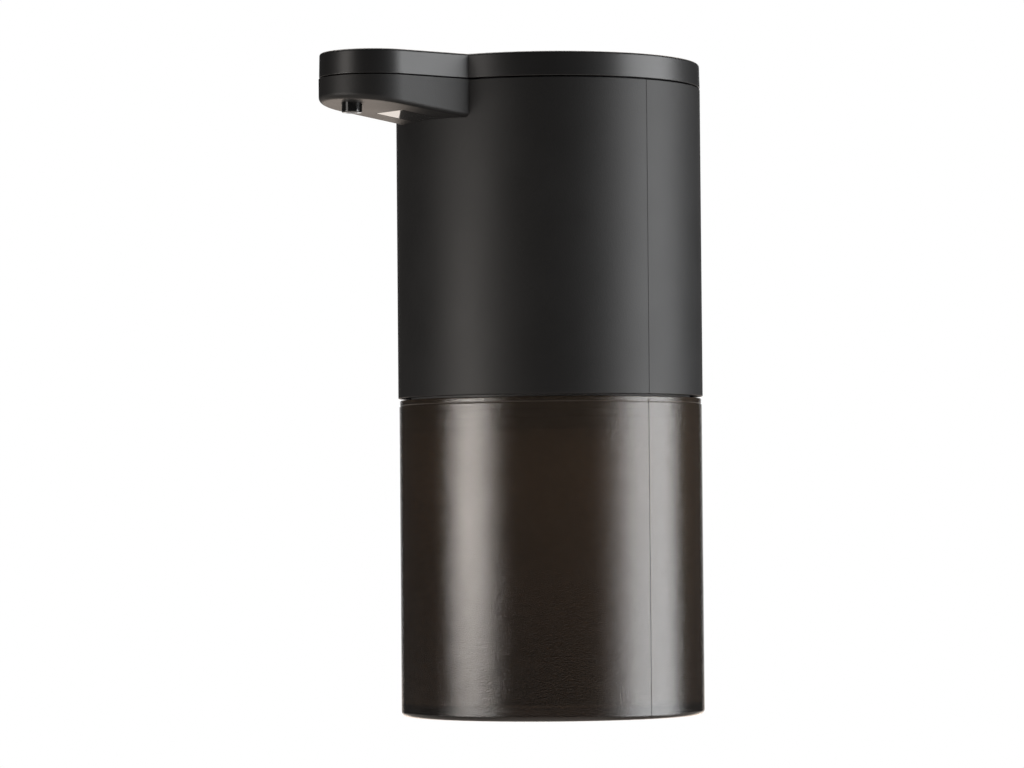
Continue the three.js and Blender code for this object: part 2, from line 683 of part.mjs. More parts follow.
/** The sensor's board, with its two lamps hanging from it towards the window. */
function sensorUnit() {
  const group = new THREE.Group();
  group.position.set(0, WINDOW_Y, underside(WINDOW_Y));
  group.rotation.x = -UNDERSIDE_TILT;
  const lampTop = WINDOW_THICK + LAMP_HEIGHT + FIT;
  const boardTop = lampTop + SENSOR_BOARD_THICK;
  const x = WINDOW_WIDTH / 2 - 0.4;
  const y = WINDOW_LENGTH / 2 - 0.4;
  group.add(piece("sensor_board", block(-x, -y, lampTop, x, y, boardTop), BOARD_GREEN));
  const lamp = [
    [0, 0],
    [0.6 * LAMP_R, 0.25],
    [0.93 * LAMP_R, 0.9],
    [LAMP_R, 1.4],
    [LAMP_R, LAMP_HEIGHT - 0.4],
    [LAMP_FLANGE_R, LAMP_HEIGHT - 0.4],
    [LAMP_FLANGE_R, LAMP_HEIGHT],
    [0, LAMP_HEIGHT],
  ];
  for (const [name, side] of [["ir_emitter", -1], ["ir_receiver", 1]]) {
    const mesh = piece(name, turned(lamp, SIDES_SMALL), GLOSS_BLACK);
    mesh.position.set((side * LAMP_PITCH) / 2, 0, WINDOW_THICK + RUN + 0.1);
    group.add(mesh);
  }
  return group;
}

// ---------------------------------------------------------------- button and status light

function powerButton() {
  const made = join(
    disc(0, 0, BUTTON_R, BUTTON_Z + 0.5, LID_TOP + BUTTON_PROUD, SIDES_LARGE),
    disc(0, 0, BUTTON_R + 1, BUTTON_Z, BUTTON_Z + BUTTON_FLANGE, SIDES_LARGE),
    disc(0, 0, BUTTON_STEM_R, BUTTON_Z - STEM_LENGTH, BUTTON_Z + 0.5, SIDES_SMALL),
  );
  return piece("power_button", made, SATIN_BLACK);
}

const switchPlunger = () =>
  piece(
    "switch_plunger",
    disc(0, 0, PLUNGER_R, BUTTON_BOARD_TOP + PLUNGER_DEPTH, PLUNGER_TOP, SIDES_SMALL),
    CHIP_BLACK,
  );

function buttonSwitch() {
  const half = SWITCH_SIZE / 2;
  const body = block(-half, -half, BUTTON_BOARD_TOP, half, half, BUTTON_BOARD_TOP + SWITCH_HEIGHT);
  const bore = disc(0, 0, PLUNGER_R + RUN, BUTTON_BOARD_TOP + 0.8, LID_TOP, SIDES_SMALL);
  return piece("button_switch", cut(body, bore), STEEL);
}

function buttonBoard() {
  const x = BOARD_POST_X + 2.5;
  const under = BUTTON_BOARD_TOP - SMALL_BOARD_THICK;
  const made = block(-x, -LIGHT_FORWARD - 3, under, x, 5, BUTTON_BOARD_TOP);
  return piece("button_board", made, BOARD_GREEN);
}

function statusLed() {
  const z = BUTTON_BOARD_TOP;
  const y = -LIGHT_FORWARD;
  return piece("status_led", block(-0.8, y - 0.5, z, 0.8, y + 0.5, z + 0.8), LIGHT_WHITE);
}

function lightPipe() {
  const y = -LIGHT_FORWARD;
  const low = BUTTON_BOARD_TOP + 0.8 + FIT;
  const made = join(
    disc(0, y, LIGHT_R, low, LID_TOP, SIDES_SMALL),
    disc(0, y, LIGHT_R + 0.6, LID_CEILING - 1, LID_CEILING - 0.1, SIDES_SMALL),
  );
  return piece("light_pipe", made, LIGHT_WHITE);
}

// ---------------------------------------------------------------- deck, seal and screws

function pumpDeck() {
  const grooveR = PLUG_R - SEAL_R - 0.3;
  const sealZ = DECK_Z - SEAL_DROP;
  const plug = turned(
    [
      [PLUG_R - PLUG_WALL, DECK_Z + 0.5],
      [PLUG_R - PLUG_WALL, DIP_TOP],
      [PLUG_R - 0.8, DIP_TOP],
      [PLUG_R, DIP_TOP + 1.2],
      [PLUG_R, sealZ - SEAL_R - 0.15],
      [grooveR, sealZ - SEAL_R - 0.15],
      [grooveR, sealZ + SEAL_R + 0.15],
      [PLUG_R, sealZ + SEAL_R + 0.15],
      [PLUG_R, DECK_Z + 0.5],
      [PLUG_R - PLUG_WALL, DECK_Z + 0.5],
    ],
    SIDES_BODY,
  );
  let made = join(disc(0, 0, BODY_INNER_R - FIT, DECK_Z, DECK_TOP, SIDES_BODY), plug);
  // Slotted posts that hold the main board's lower corners.
  const inside = disc(0, 0, BODY_INNER_R - FIT, DECK_Z, HOUSING_TOP, SIDES_BODY);
  for (const side of [-1, 1]) {
    const x = side * (BOARD_WIDTH / 2);
    const half = BOARD_SLOT_WIDTH / 2;
    const gap = BOARD_THICK / 2 + RUN;
    for (const y of [BOARD_Y - gap - BOARD_SLOT_WALL, BOARD_Y + gap]) {
      const post = block(
        x - half, y, DECK_TOP - 1,
        x + half, y + BOARD_SLOT_WALL, DECK_TOP + BOARD_SLOT_HEIGHT,
      );
      made = join(made, post.intersect(inside));
    }
  }
  for (const a of DECK_SCREW_ANGLES) {
    const [x, y] = [BOSS_RADIUS * Math.cos(a), BOSS_RADIUS * Math.sin(a)];
    made = cut(made, disc(x, y, SCREW_HOLE_R, DECK_Z - 1, DECK_TOP + 1, SIDES_SMALL));
  }
  for (const [x, y] of EARS) {
    made = cut(made, disc(x, y, SCREW_HOLE_R, DECK_Z - 1, DECK_TOP + 1, SIDES_SMALL));
  }
  made = cut(
    made,
    disc(ELBOW_X, INLET_Y, GROMMET_R + RUN, DECK_Z - 1, DECK_TOP + 1, SIDES_MEDIUM),
    disc(VENT_X, INLET_Y, VENT_R, DECK_Z - 1, DECK_TOP + 1, SIDES_SMALL),
  );
  return piece("pump_deck", made, INNER_PLASTIC);
}

function tankSeal() {
  const centre = PLUG_R - 0.2;
  const z = DECK_Z - SEAL_DROP;
  const circle = arc(centre, z, SEAL_R, 0, 2 * Math.PI, SIDES_HOSE).map((p) => [p.x, p.y]);
  circle[circle.length - 1] = circle[0];
  return piece("tank_seal", turned(circle, SIDES_BODY), RUBBER);
}

/** A pan-head screw standing head down, from z = 0 up. */
function screw(name, length) {
  const profile = [
    [0, SCREW_SOCKET],
    [SCREW_SOCKET_R, SCREW_SOCKET],
    [SCREW_SOCKET_R, 0],
    [SCREW_HEAD_R - 0.4, 0],
    [SCREW_HEAD_R, 0.4],
    [SCREW_HEAD_R, SCREW_HEAD],
    [SCREW_R, SCREW_HEAD],
    [SCREW_R, length - 0.6],
    [SCREW_R - 0.5, length],
    [0, length],
  ];
  return piece(name, turned(profile, SIDES_SMALL), STEEL);
}

function deckScrews() {
  return DECK_SCREW_ANGLES.map((a, i) => {
    const mesh = screw(`deck_screw_${i + 1}`, SCREW_HEAD + DECK_THICK + SCREW_BITE);
    mesh.position.set(
      BOSS_RADIUS * Math.cos(a),
      BOSS_RADIUS * Math.sin(a),
      DECK_Z - SCREW_HEAD,
    );
    return mesh;
  });
}

function pumpScrews() {
  const length = SCREW_HEAD + MOTOR_Z - DECK_Z;
  return EARS.map(([x, y], i) => {
    const mesh = screw(`pump_screw_${i + 1}`, length);
    mesh.position.set(x, y, MOTOR_Z + SCREW_HEAD);
    mesh.rotation.x = Math.PI;
    return mesh;
  });
}

// ---------------------------------------------------------------- pump

/** The case's plan: round, with a square end that the hose leaves through. */
function casePlan(z0, z1) {
  return join(
    disc(0, PUMP_Y, CASE_R, z0, z1, SIDES_LARGE),
    block(-CASE_R, PUMP_Y - CASE_R, z0, 0, PUMP_Y + CASE_R, z1),
    ...EARS.map(([x, y]) => disc(x, y, EAR_R, z0, z1, SIDES_SMALL)),
    ...EARS.map(([x, y]) => earWeb(x, y, z0, z1)),
  );
}

/** A web that ties an ear to the case. */
function earWeb(x, y, z0, z1) {
  const a = Math.atan2(y - PUMP_Y, x);
  return block(0, -1.2, z0, EAR_FROM_CASE + 2, 1.2, z1)
    .translate([CASE_R - 2, 0, 0])
    .rotate([0, 0, THREE.MathUtils.radToDeg(a)])
    .translate([0, PUMP_Y, 0]);
}

const earHoles = (z0, z1) => EARS.map(([x, y]) => disc(x, y, SCREW_HOLE_R, z0, z1, SIDES_SMALL));

function pumpCase() {
  const floor = DECK_TOP + PUMP_FLOOR;
  const channel = HOSE_R + FIT;
  const channels = [-1, 1].map((side) => {
    const y = PUMP_Y + side * HOSE_LINE_R;
    return block(-CASE_R - 1, y - channel, HOSE_Z - channel, 0, y + channel, COVER_Z + 1);
  });
  const made = cut(
    casePlan(DECK_TOP, COVER_Z),
    disc(0, PUMP_Y, RACE_R, floor, COVER_Z + 1, SIDES_LARGE),
    disc(0, PUMP_Y, AXLE_R + 0.05, DECK_TOP - 1, floor + 1, SIDES_SMALL),
    ...channels,
    ...earHoles(DECK_TOP - 1, COVER_Z + 1),
  );
  return piece("pump_case", made, INNER_PLASTIC);
}

function pumpCover() {
  const tab = join(
    disc(IDLER_X, PUMP_Y, 3.2, COVER_Z, COVER_TOP, SIDES_MEDIUM),
    casePlan(COVER_Z, COVER_TOP),
  );
  const made = cut(
    tab,
    disc(0, PUMP_Y, NECK_R + RUN, COVER_Z - 1, COVER_TOP + 1, SIDES_MEDIUM),
    disc(IDLER_X, PUMP_Y, IDLER_PIN_R + 0.05, COVER_Z - 1, COVER_TOP + 1, SIDES_SMALL),
    ...earHoles(COVER_Z - 1, COVER_TOP + 1),
  );
  return piece("pump_cover", made, INNER_PLASTIC);
}

function rotorAxle() {
  const made = disc(0, PUMP_Y, AXLE_R, DECK_TOP, LOW_GEAR_TOP - 1, SIDES_SMALL);
  return piece("rotor_axle", made, STEEL);
}

/** A hexagon for the keyed fit between the rotor and its wheel. */
const hexagon = (flats) => ringPoints(0, 0, flats / 2 / Math.cos(Math.PI / 6), 6);

/** The pump's rotor, in its own frame with the axle along Z. */
function pumpRotor() {
  let made = join(
    disc(0, 0, FLANGE_R, ROTOR_Z, ROTOR_Z + FLANGE_THICK, SIDES_MEDIUM),
    disc(0, 0, HUB_R, ROTOR_Z, ROTOR_TOP, SIDES_MEDIUM),
    disc(0, 0, FLANGE_R, ROTOR_TOP - FLANGE_THICK, ROTOR_TOP, SIDES_MEDIUM),
    disc(0, 0, NECK_R, ROTOR_TOP - 0.5, LOW_GEAR_Z - 0.1, SIDES_MEDIUM),
    prism(hexagon(DRIVE_FLATS), LOW_GEAR_Z - 0.5, LOW_GEAR_TOP),
  );
  made = cut(made, disc(0, 0, AXLE_R + RUN, ROTOR_Z - 1, LOW_GEAR_TOP - 1 + FIT, SIDES_SMALL));
  for (const [x, y] of rollerPlaces()) {
    made = cut(made, disc(x, y, ROLLER_PIN_R + 0.05, ROTOR_Z - 1, ROTOR_TOP + 0.05, SIDES_SMALL));
  }
  return piece("pump_rotor", made, ACETAL);
}

const rollerPlaces = () =>
  Array.from({ length: ROLLERS }, (_, i) => {
    const a = (2 * Math.PI * i) / ROLLERS;
    return [ROLLER_ORBIT * Math.cos(a), ROLLER_ORBIT * Math.sin(a)];
  });

function rotorWheel() {
  const made = prism(gearOutline(WHEEL_TEETH, 0), LOW_GEAR_Z, LOW_GEAR_TOP, [
    hexagon(DRIVE_FLATS + 2 * 0.08),
  ]);
  return piece("rotor_wheel", made, ACETAL);
}

/** The rotor with its wheel, pins and rollers, turning about the pump's axis. */
function rotorUnit() {
  const group = new THREE.Group();
  group.position.y = PUMP_Y;
  group.add(pumpRotor(), rotorWheel());
  rollerPlaces().forEach(([x, y], i) => {
    const pin = disc(0, 0, ROLLER_PIN_R, ROTOR_Z, ROTOR_TOP, SIDES_SMALL);
    const roller = ring(
      0, 0, ROLLER_R, ROLLER_PIN_R + RUN, ROLLER_Z, ROLLER_Z + ROLLER_HEIGHT, SIDES_SMALL,
    );
    for (const mesh of [
      piece(`roller_pin_${i + 1}`, pin, STEEL),
      piece(`roller_${i + 1}`, roller, ACETAL),
    ]) {
      mesh.position.set(x, y, 0);
      group.add(mesh);
    }
  });
  return group;
}

/** The hose's U through the pump, from one end to the other. */
function pumpHose() {
  const at = (x, y) => new THREE.Vector3(x, PUMP_Y + y, HOSE_Z);
  const bend = [];
  const turns = 16;
  for (let i = 0; i <= turns; i++) {
    const a = Math.PI / 2 - (Math.PI * i) / turns;
    bend.push(at(HOSE_LINE_R * Math.cos(a), HOSE_LINE_R * Math.sin(a)));
  }
  const points = [at(-HOSE_LEG, HOSE_LINE_R), at(-HOSE_LEG / 2, HOSE_LINE_R), ...bend];
  points.push(at(-HOSE_LEG / 2, -HOSE_LINE_R), at(-HOSE_LEG, -HOSE_LINE_R));
  const path = new THREE.CatmullRomCurve3(points, false, "centripetal");
  return piece("pump_hose", hose(path, HOSE_R, HOSE_BORE_R, SIDES_HOSE, 24), SILICONE);
}

/** A hard elbow from the hose's inlet end down through the deck. */
function inletElbow() {
  const start = -(HOSE_LEG + FIT);
  const bend = -ELBOW_X + start;
  const points = [[start, INLET_Y, HOSE_Z]];
  for (let i = 0; i <= 5; i++) {
    const a = (Math.PI / 2) * (i / 5);
    points.push([
      start - (bend > 3 ? bend - 3 : 0) - 3 * Math.sin(a),
      INLET_Y,
      HOSE_Z - 3 * (1 - Math.cos(a)),
    ]);
  }
  points.push([ELBOW_X, INLET_Y, DECK_Z], [ELBOW_X, INLET_Y, DIP_TOP + FIT]);
  const made = hose(smooth(points), DIP_R - 0.2, DIP_BORE_R - 0.2, SIDES_HOSE, 18);
  return piece("inlet_elbow", made, ACETAL);
}

function deckGrommet() {
  const made = turned(
    [
      [DIP_R, DECK_Z - 1],
      [GROMMET_R + GROMMET_LIP, DECK_Z - 1],
      [GROMMET_R + GROMMET_LIP, DECK_Z - 0.1],
      [GROMMET_R, DECK_Z - 0.1],
      [GROMMET_R, DECK_TOP + 0.1],
      [GROMMET_R + GROMMET_LIP, DECK_TOP + 0.1],
      [GROMMET_R + GROMMET_LIP, DECK_TOP + 1],
      [DIP_R, DECK_TOP + 1],
      [DIP_R, DECK_Z - 1],
    ],
    SIDES_MEDIUM,
  );
  return piece("deck_grommet", made.translate([ELBOW_X, INLET_Y, 0]), RUBBER);
}

function dipTube() {
  const low = DIP_Z + 1.5;
  return piece(
    "dip_tube",
    ring(ELBOW_X, INLET_Y, DIP_R, DIP_BORE_R, low, DIP_TOP, SIDES_MEDIUM),
    ACETAL,
  );
}

/** A slotted foot that keeps lumps out of the dip tube. */
function strainer() {
  let made = turned(
    [
      [0, 0],
      [STRAINER_R, 0],
      [STRAINER_R, STRAINER_HEIGHT - 1],
      [STRAINER_R - 1, STRAINER_HEIGHT],
      [DIP_R + 0.1, STRAINER_HEIGHT],
      [DIP_R + 0.1, 1.4],
      [0, 1.4],
    ],
    SIDES_MEDIUM,
  );
  for (const turn of [0, 45, 90, 135]) {
    made = cut(made, block(-STRAINER_R - 1, -0.5, -1, STRAINER_R + 1, 0.5, 1).rotate([0, 0, turn]));
  }
  const mesh = piece("intake_strainer", made, ACETAL);
  mesh.position.set(ELBOW_X, INLET_Y, DIP_Z);
  return mesh;
}

/** The hose from the pump up inside the housing, then over the sensor to the nozzle. */
function outletHose() {
  const start = -(HOSE_LEG + FIT);
  const z = SPOUT_HOSE_Z;
  const throat = SPOUT_TIP_R - LID_INSET - HOSE_R - FIT;
  const points = [
    [start, OUTLET_Y, HOSE_Z],
    [start - 1.5, OUTLET_Y, HOSE_Z + 0.2],
    [ELBOW_X - 0.3, OUTLET_Y, HOSE_Z + 2.4],
    [ELBOW_X - 0.6, OUTLET_Y, HOSE_Z + 6],
    [ELBOW_X - 0.6, OUTLET_Y, (HOSE_Z + z) / 2],
    [ELBOW_X - 0.2, OUTLET_Y, z - 14],
    [ELBOW_X * 0.85, OUTLET_Y - 3, z - 5],
    [ELBOW_X * 0.5, OUTLET_Y - 8.5, z - 0.8],
    [-0.7 * throat, WINDOW_Y + 8, z],
    [-0.15 * throat, WINDOW_Y - 2, z],
    [0, NOZZLE_Y + NOZZLE_R + SPIGOT + 3, z],
    [0, NOZZLE_Y + NOZZLE_R + SPIGOT, z],
    [0, NOZZLE_Y + NOZZLE_R + FIT, z],
  ];
  const made = hose(smooth(points), HOSE_R, HOSE_BORE_R, SIDES_HOSE, 34);
  return piece("outlet_hose", made, SILICONE);
}

// ---------------------------------------------------------------- gears and motor

/** Two gears in one moulding: a wheel over a pinion, turning on the idler's pin. */
function idlerGear() {
  const gap = Math.PI / PINION_TEETH;
  const made = cut(
    join(
      prism(gearOutline(PINION_TEETH, gap), LOW_GEAR_Z, HIGH_GEAR_Z),
      prism(gearOutline(WHEEL_TEETH, 0), HIGH_GEAR_Z, HIGH_GEAR_TOP),
    ),
    disc(0, 0, IDLER_PIN_R + RUN, LOW_GEAR_Z - 1, HIGH_GEAR_TOP + 1, SIDES_SMALL),
  );
  const mesh = piece("idler_gear", made, ACETAL);
  mesh.position.set(IDLER_X, PUMP_Y, 0);
  return mesh;
}

function idlerPin() {
  const made = disc(IDLER_X, PUMP_Y, IDLER_PIN_R, COVER_Z, MOTOR_Z, SIDES_SMALL);
  return piece("idler_pin", made, STEEL);
}

function motorPinion() {
  const gap = Math.PI / PINION_TEETH;
  const made = prism(
    gearOutline(PINION_TEETH, gap),
    HIGH_GEAR_Z,
    HIGH_GEAR_TOP + 0.3,
    [ringPoints(0, 0, AXLE_R + 0.05, SIDES_SMALL)],
  );
  const mesh = piece("motor_pinion", made, ACETAL);
  mesh.position.y = PUMP_Y;
  return mesh;
}

const motorShaft = () =>
  piece(
    "motor_shaft",
    disc(0, PUMP_Y, AXLE_R, HIGH_GEAR_Z, MOTOR_TOP + 2.5, SIDES_SMALL),
    STEEL,
  );

/** Plate on three posts that carries the motor and the idler's pin. */
function gearPlate() {
  const made = cut(
    join(
      disc(0, PUMP_Y, CASE_R, PLATE_UNDER, MOTOR_Z, SIDES_LARGE),
      block(0, PUMP_Y - 3.2, PLATE_UNDER, IDLER_X, PUMP_Y + 3.2, MOTOR_Z),
      disc(IDLER_X, PUMP_Y, 3.2, PLATE_UNDER, MOTOR_Z, SIDES_MEDIUM),
      ...EARS.map(([x, y]) => earWeb(x, y, PLATE_UNDER, MOTOR_Z)),
      ...EARS.map(([x, y]) => disc(x, y, EAR_R, COVER_TOP, MOTOR_Z, SIDES_SMALL)),
    ),
    disc(0, PUMP_Y, MOTOR_BOSS_R + RUN, PLATE_UNDER - 1, MOTOR_Z + 1, SIDES_MEDIUM),
    disc(IDLER_X, PUMP_Y, IDLER_PIN_R + 0.05, PLATE_UNDER - 1, MOTOR_Z + 1, SIDES_SMALL),
    ...earHoles(COVER_TOP - 1, MOTOR_Z + 1),
  );
  return piece("gear_plate", made, INNER_PLASTIC);
}

function motorCan() {
  const made = turned(
    [
      [AXLE_R + RUN, MOTOR_Z - MOTOR_BOSS],
      [MOTOR_BOSS_R, MOTOR_Z - MOTOR_BOSS],
      [MOTOR_BOSS_R, MOTOR_Z],
      [MOTOR_R - 0.8, MOTOR_Z],
      [MOTOR_R, MOTOR_Z + 0.8],
      [MOTOR_R, MOTOR_TOP - MOTOR_CAP],
      [AXLE_R + RUN, MOTOR_TOP - MOTOR_CAP],
      [AXLE_R + RUN, MOTOR_Z - MOTOR_BOSS],
    ],
    SIDES_LARGE,
  );
  return piece("motor_can", made.translate([0, PUMP_Y, 0]), CAN_STEEL);
}

/** The motor's plastic end, with its two solder tags. */
function motorEndCap() {
  const cap = turned(
    [
      [AXLE_R + RUN, MOTOR_TOP - MOTOR_CAP],
      [MOTOR_R, MOTOR_TOP - MOTOR_CAP],
      [MOTOR_R, MOTOR_TOP - MOTOR_EDGE],
      [MOTOR_R - MOTOR_EDGE, MOTOR_TOP],
      [4, MOTOR_TOP],
      [3.6, MOTOR_TOP + 1.6],
      [AXLE_R + RUN, MOTOR_TOP + 1.6],
      [AXLE_R + RUN, MOTOR_TOP - MOTOR_CAP],
    ],
    SIDES_LARGE,
  );
  const tags = [-TAG_X, TAG_X].map((x) =>
    block(
      x - TAG_THICK / 2, -TAG_WIDTH / 2, MOTOR_TOP - 1,
      x + TAG_THICK / 2, TAG_WIDTH / 2, MOTOR_TOP + TAG_HEIGHT,
    ),
  );
  const made = join(cap, ...tags);
  return piece("motor_end_cap", made.translate([0, PUMP_Y, 0]), INNER_PLASTIC);
}

// ---------------------------------------------------------------- cell and electronics

function cellCup() {
  const floor = DECK_TOP + CUP_FLOOR;
  const made = cut(
    disc(CELL_X, CELL_Y, CUP_R, DECK_TOP, DECK_TOP + CUP_HEIGHT, SIDES_MEDIUM),
    disc(CELL_X, CELL_Y, CELL_R + RUN, floor, DECK_TOP + CUP_HEIGHT + 1, SIDES_MEDIUM),
  );
  return piece("cell_cup", made, INNER_PLASTIC);
}

function cell() {
  const low = DECK_TOP + CUP_FLOOR + 0.2;
  const top = low + CELL_LENGTH;
  const made = turned(
    [
      [0, low],
      [CELL_R - 0.6, low],
      [CELL_R, low + 0.6],
      [CELL_R, top - 1.6],
      [CELL_R - 0.6, top - 1],
      [2.8, top - 1],
      [2.6, top],
      [0, top],
    ],
    SIDES_MEDIUM,
  );
  return piece("battery_cell", made.translate([CELL_X, CELL_Y, 0]), CELL_WRAP);
}

function mainBoard() {
  const half = BOARD_WIDTH / 2;
  const front = BOARD_BACK - BOARD_THICK;
  const made = block(-half, front, BOARD_Z, half, BOARD_BACK, BOARD_Z + BOARD_HEIGHT);
  return piece("main_board", made, BOARD_GREEN);
}

function boardParts() {
  const front = BOARD_BACK - BOARD_THICK;
  const chip = block(-2.5, front - 1.6, PORT_Z + 8, 2.5, front, PORT_Z + 13);
  const plug = block(
    BATTERY_PLUG_X - 4, front - BATTERY_PLUG_DEPTH, BATTERY_PLUG_Z - 2.2,
    BATTERY_PLUG_X + 4, front, BATTERY_PLUG_Z + 2.2,
  );
  return [
    piece("controller_chip", chip, CHIP_BLACK),
    piece("battery_plug", plug, ACETAL),
  ];
}

/** The charging socket's steel shell, open at the back of the housing. */
function usbSocket() {
  const x = USB_WIDTH / 2;
  const z = USB_HEIGHT / 2;
  const r = z - 0.01;
  const outline = (inset) => [
    ...arc(x - z, 0, r - inset, -Math.PI / 2, Math.PI / 2, 8),
    ...arc(-x + z, 0, r - inset, Math.PI / 2, (3 * Math.PI) / 2, 8),
  ];
  const shell = cut(
    prism(outline(0), 0, USB_DEPTH),
    prism(outline(0.3), 1, USB_DEPTH + 1),
  );
  const tongue = block(-3.3, -0.35, 0.5, 3.3, 0.35, USB_DEPTH - 1.2);
  const mesh = piece("charging_socket", join(shell, tongue), STEEL);
  mesh.rotation.x = -Math.PI / 2;
  mesh.position.set(0, BOARD_BACK, PORT_Z);
  return mesh;
}

/** The soft cover that hangs over the charging socket from a barrel along its top edge. */
function portCover() {
  const half = COVER_WIDTH / 2;
  const r = COVER_THICK / 2;
  const drop = COVER_HEIGHT - r;
  const barrel = disc(0, 0, r, -half, half, SIDES_SMALL).rotate([0, 90, 0]);
  const leaf = block(-half, -r, -drop, half, r, 0);
  const grip = block(-2, r - 0.1, 0.4 - drop, 2, r + 0.35, 1 - drop);
  const mesh = piece("port_cover", join(leaf, barrel, grip), RUBBER);
  mesh.position.set(0, COVER_Y, COVER_HINGE_Z);
  return mesh;
}

/** Wires from the motor's tags to the main board. */
function motorWires() {
  const boardFront = BOARD_BACK - BOARD_THICK - 2 * FIT;
  return [-1, 1].map((side) => {
    const x = side * TAG_X + 0.9;
    const z = MOTOR_TOP + TAG_HEIGHT;
    const path = smooth([
      [x, PUMP_Y, z - 1.5],
      [x, PUMP_Y, z + 1.5],
      [x + 1.5, PUMP_Y + 5, z + 4],
      [x + 3, boardFront - 8, z],
      [x + 3, boardFront - 4, PORT_Z + 26],
      [x + 3, boardFront, PORT_Z + 24],
    ]);
    const name = side < 0 ? "motor_wire_black" : "motor_wire_red";
    return piece(name, hose(path, WIRE_R, 0, 6, 18), side < 0 ? RUBBER : WIRE_RED);
  });
}

/** The two-core lead from the top of the cell to its plug on the main board. */
function batteryLead() {
  const top = DECK_TOP + CUP_FLOOR + 0.2 + CELL_LENGTH;
  const plugFront = BOARD_BACK - BOARD_THICK - BATTERY_PLUG_DEPTH;
  const path = smooth([
    [CELL_X, CELL_Y, top + FIT],
    [CELL_X - 1, CELL_Y + 0.5, top + 3],
    [CELL_X - 6, CELL_Y + 3, top + 4],
    [4, plugFront - 3, top - 2],
    [BATTERY_PLUG_X, plugFront - 4, BATTERY_PLUG_Z + 6],
    [BATTERY_PLUG_X, plugFront - 3 * FIT, BATTERY_PLUG_Z],
  ]);
  return piece("battery_lead", hose(path, LEAD_R, 0, 6, 22), WIRE_RED);
}

// ---------------------------------------------------------------- tank

function tank() {
  const edge = 0.5;
  const rim = TANK_R - RIM_INSET;
  const made = turned(
    [
      [0, FOOT_RECESS],
      [TANK_R - FOOT_WIDTH - 0.6, FOOT_RECESS],
      [TANK_R - FOOT_WIDTH, 0],
      [TANK_R - edge, 0],
      [TANK_R, edge],
      [TANK_R, TANK_HEIGHT - RIM_BAND],
      [rim, TANK_HEIGHT - RIM_BAND],
      [rim, TANK_HEIGHT - 0.3],
      [rim - 0.3, TANK_HEIGHT],
      [TANK_INNER_R + 0.3, TANK_HEIGHT],
      [TANK_INNER_R, TANK_HEIGHT - 0.3],
      [TANK_INNER_R, TANK_FLOOR + FOOT_RECESS + 2],
      [TANK_INNER_R - 0.6, TANK_FLOOR + FOOT_RECESS + 0.6],
      [TANK_INNER_R - 2, TANK_FLOOR + FOOT_RECESS],
      [0, TANK_FLOOR + FOOT_RECESS],
    ],
    SIDES_BODY,
  );
  return piece("tank", made, SMOKED);
}

// ---------------------------------------------------------------- assembly

const dispenser = new THREE.Group();
dispenser.position.set(0, -WALL_Y, -PLATE_CENTRE);
dispenser.add(
  wallBracket(),
  adhesivePad(),
  housingShell(),
  lid(),
  nozzle(),
  sensorWindow(),
  sensorUnit(),
  powerButton(),
  switchPlunger(),
  buttonSwitch(),
  buttonBoard(),
  statusLed(),
  lightPipe(),
  pumpDeck(),
  tankSeal(),
  ...deckScrews(),
  ...pumpScrews(),
  pumpCase(),
  pumpCover(),
  rotorAxle(),
  rotorUnit(),
  pumpHose(),
  inletElbow(),
  deckGrommet(),
  dipTube(),
  strainer(),
  outletHose(),
  idlerGear(),
  idlerPin(),
  motorPinion(),
  motorShaft(),
  gearPlate(),
  motorCan(),
  motorEndCap(),
  cellCup(),
  cell(),
  mainBoard(),
  ...boardParts(),
  usbSocket(),
  portCover(),
  ...motorWires(),
  batteryLead(),
  tank(),
);

const product = new THREE.Group();
product.add(dispenser);
export default product;
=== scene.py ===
import math

import bmesh
import bpy
from mathutils import Matrix, Vector


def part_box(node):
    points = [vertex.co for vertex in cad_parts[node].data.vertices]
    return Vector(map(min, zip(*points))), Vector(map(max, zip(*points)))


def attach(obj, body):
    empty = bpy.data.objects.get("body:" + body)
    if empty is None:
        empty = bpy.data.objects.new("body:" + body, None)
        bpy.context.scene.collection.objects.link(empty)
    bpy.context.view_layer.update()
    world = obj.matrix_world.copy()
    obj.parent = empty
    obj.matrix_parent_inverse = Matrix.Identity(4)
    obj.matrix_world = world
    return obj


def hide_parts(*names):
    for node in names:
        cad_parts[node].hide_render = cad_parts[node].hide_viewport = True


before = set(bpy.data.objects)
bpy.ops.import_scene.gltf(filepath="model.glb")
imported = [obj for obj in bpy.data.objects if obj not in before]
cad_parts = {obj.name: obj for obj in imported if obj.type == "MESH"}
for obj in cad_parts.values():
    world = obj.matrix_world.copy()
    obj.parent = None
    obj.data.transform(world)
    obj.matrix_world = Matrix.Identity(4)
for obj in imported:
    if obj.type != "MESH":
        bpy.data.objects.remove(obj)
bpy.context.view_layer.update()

# The studio: a camera, a white surround, and soft boxes to the left, to the right and behind. The
# ones behind warm the spout's underside and the lid's top edge. Sizes here are in metres, and
# angles are in plan: the camera's from the spout, and each lamp's from the camera.
foot_corner, mouth_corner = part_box("tank")
AXIS_Y = (foot_corner.y + mouth_corner.y) / 2
FOOT_Z = foot_corner.z
CAMERA_ANGLE = math.radians(50.9)
CAMERA_DISTANCE = 1.030
CAMERA_HEIGHT = 0.0501
CAMERA_ROLL = math.radians(0.485)
LENS = 146.9
AIM_HEIGHT = 0.0814
AIM_LEFT = 0.00946


def around(angle, distance, height):
    """A point at some distance from the dispenser's axis, at a height above its foot."""
    return Vector((
        distance * math.sin(angle),
        AXIS_Y - distance * math.cos(angle),
        FOOT_Z + height,
    ))


def facing(place, target, turn=0.0):
    """The matrix of a lamp or camera at one point that looks at another, turned about its view."""
    look = (target - place).to_track_quat("-Z", "Y").to_matrix().to_4x4()
    return Matrix.Translation(place) @ look @ Matrix.Rotation(turn, 4, "Z")


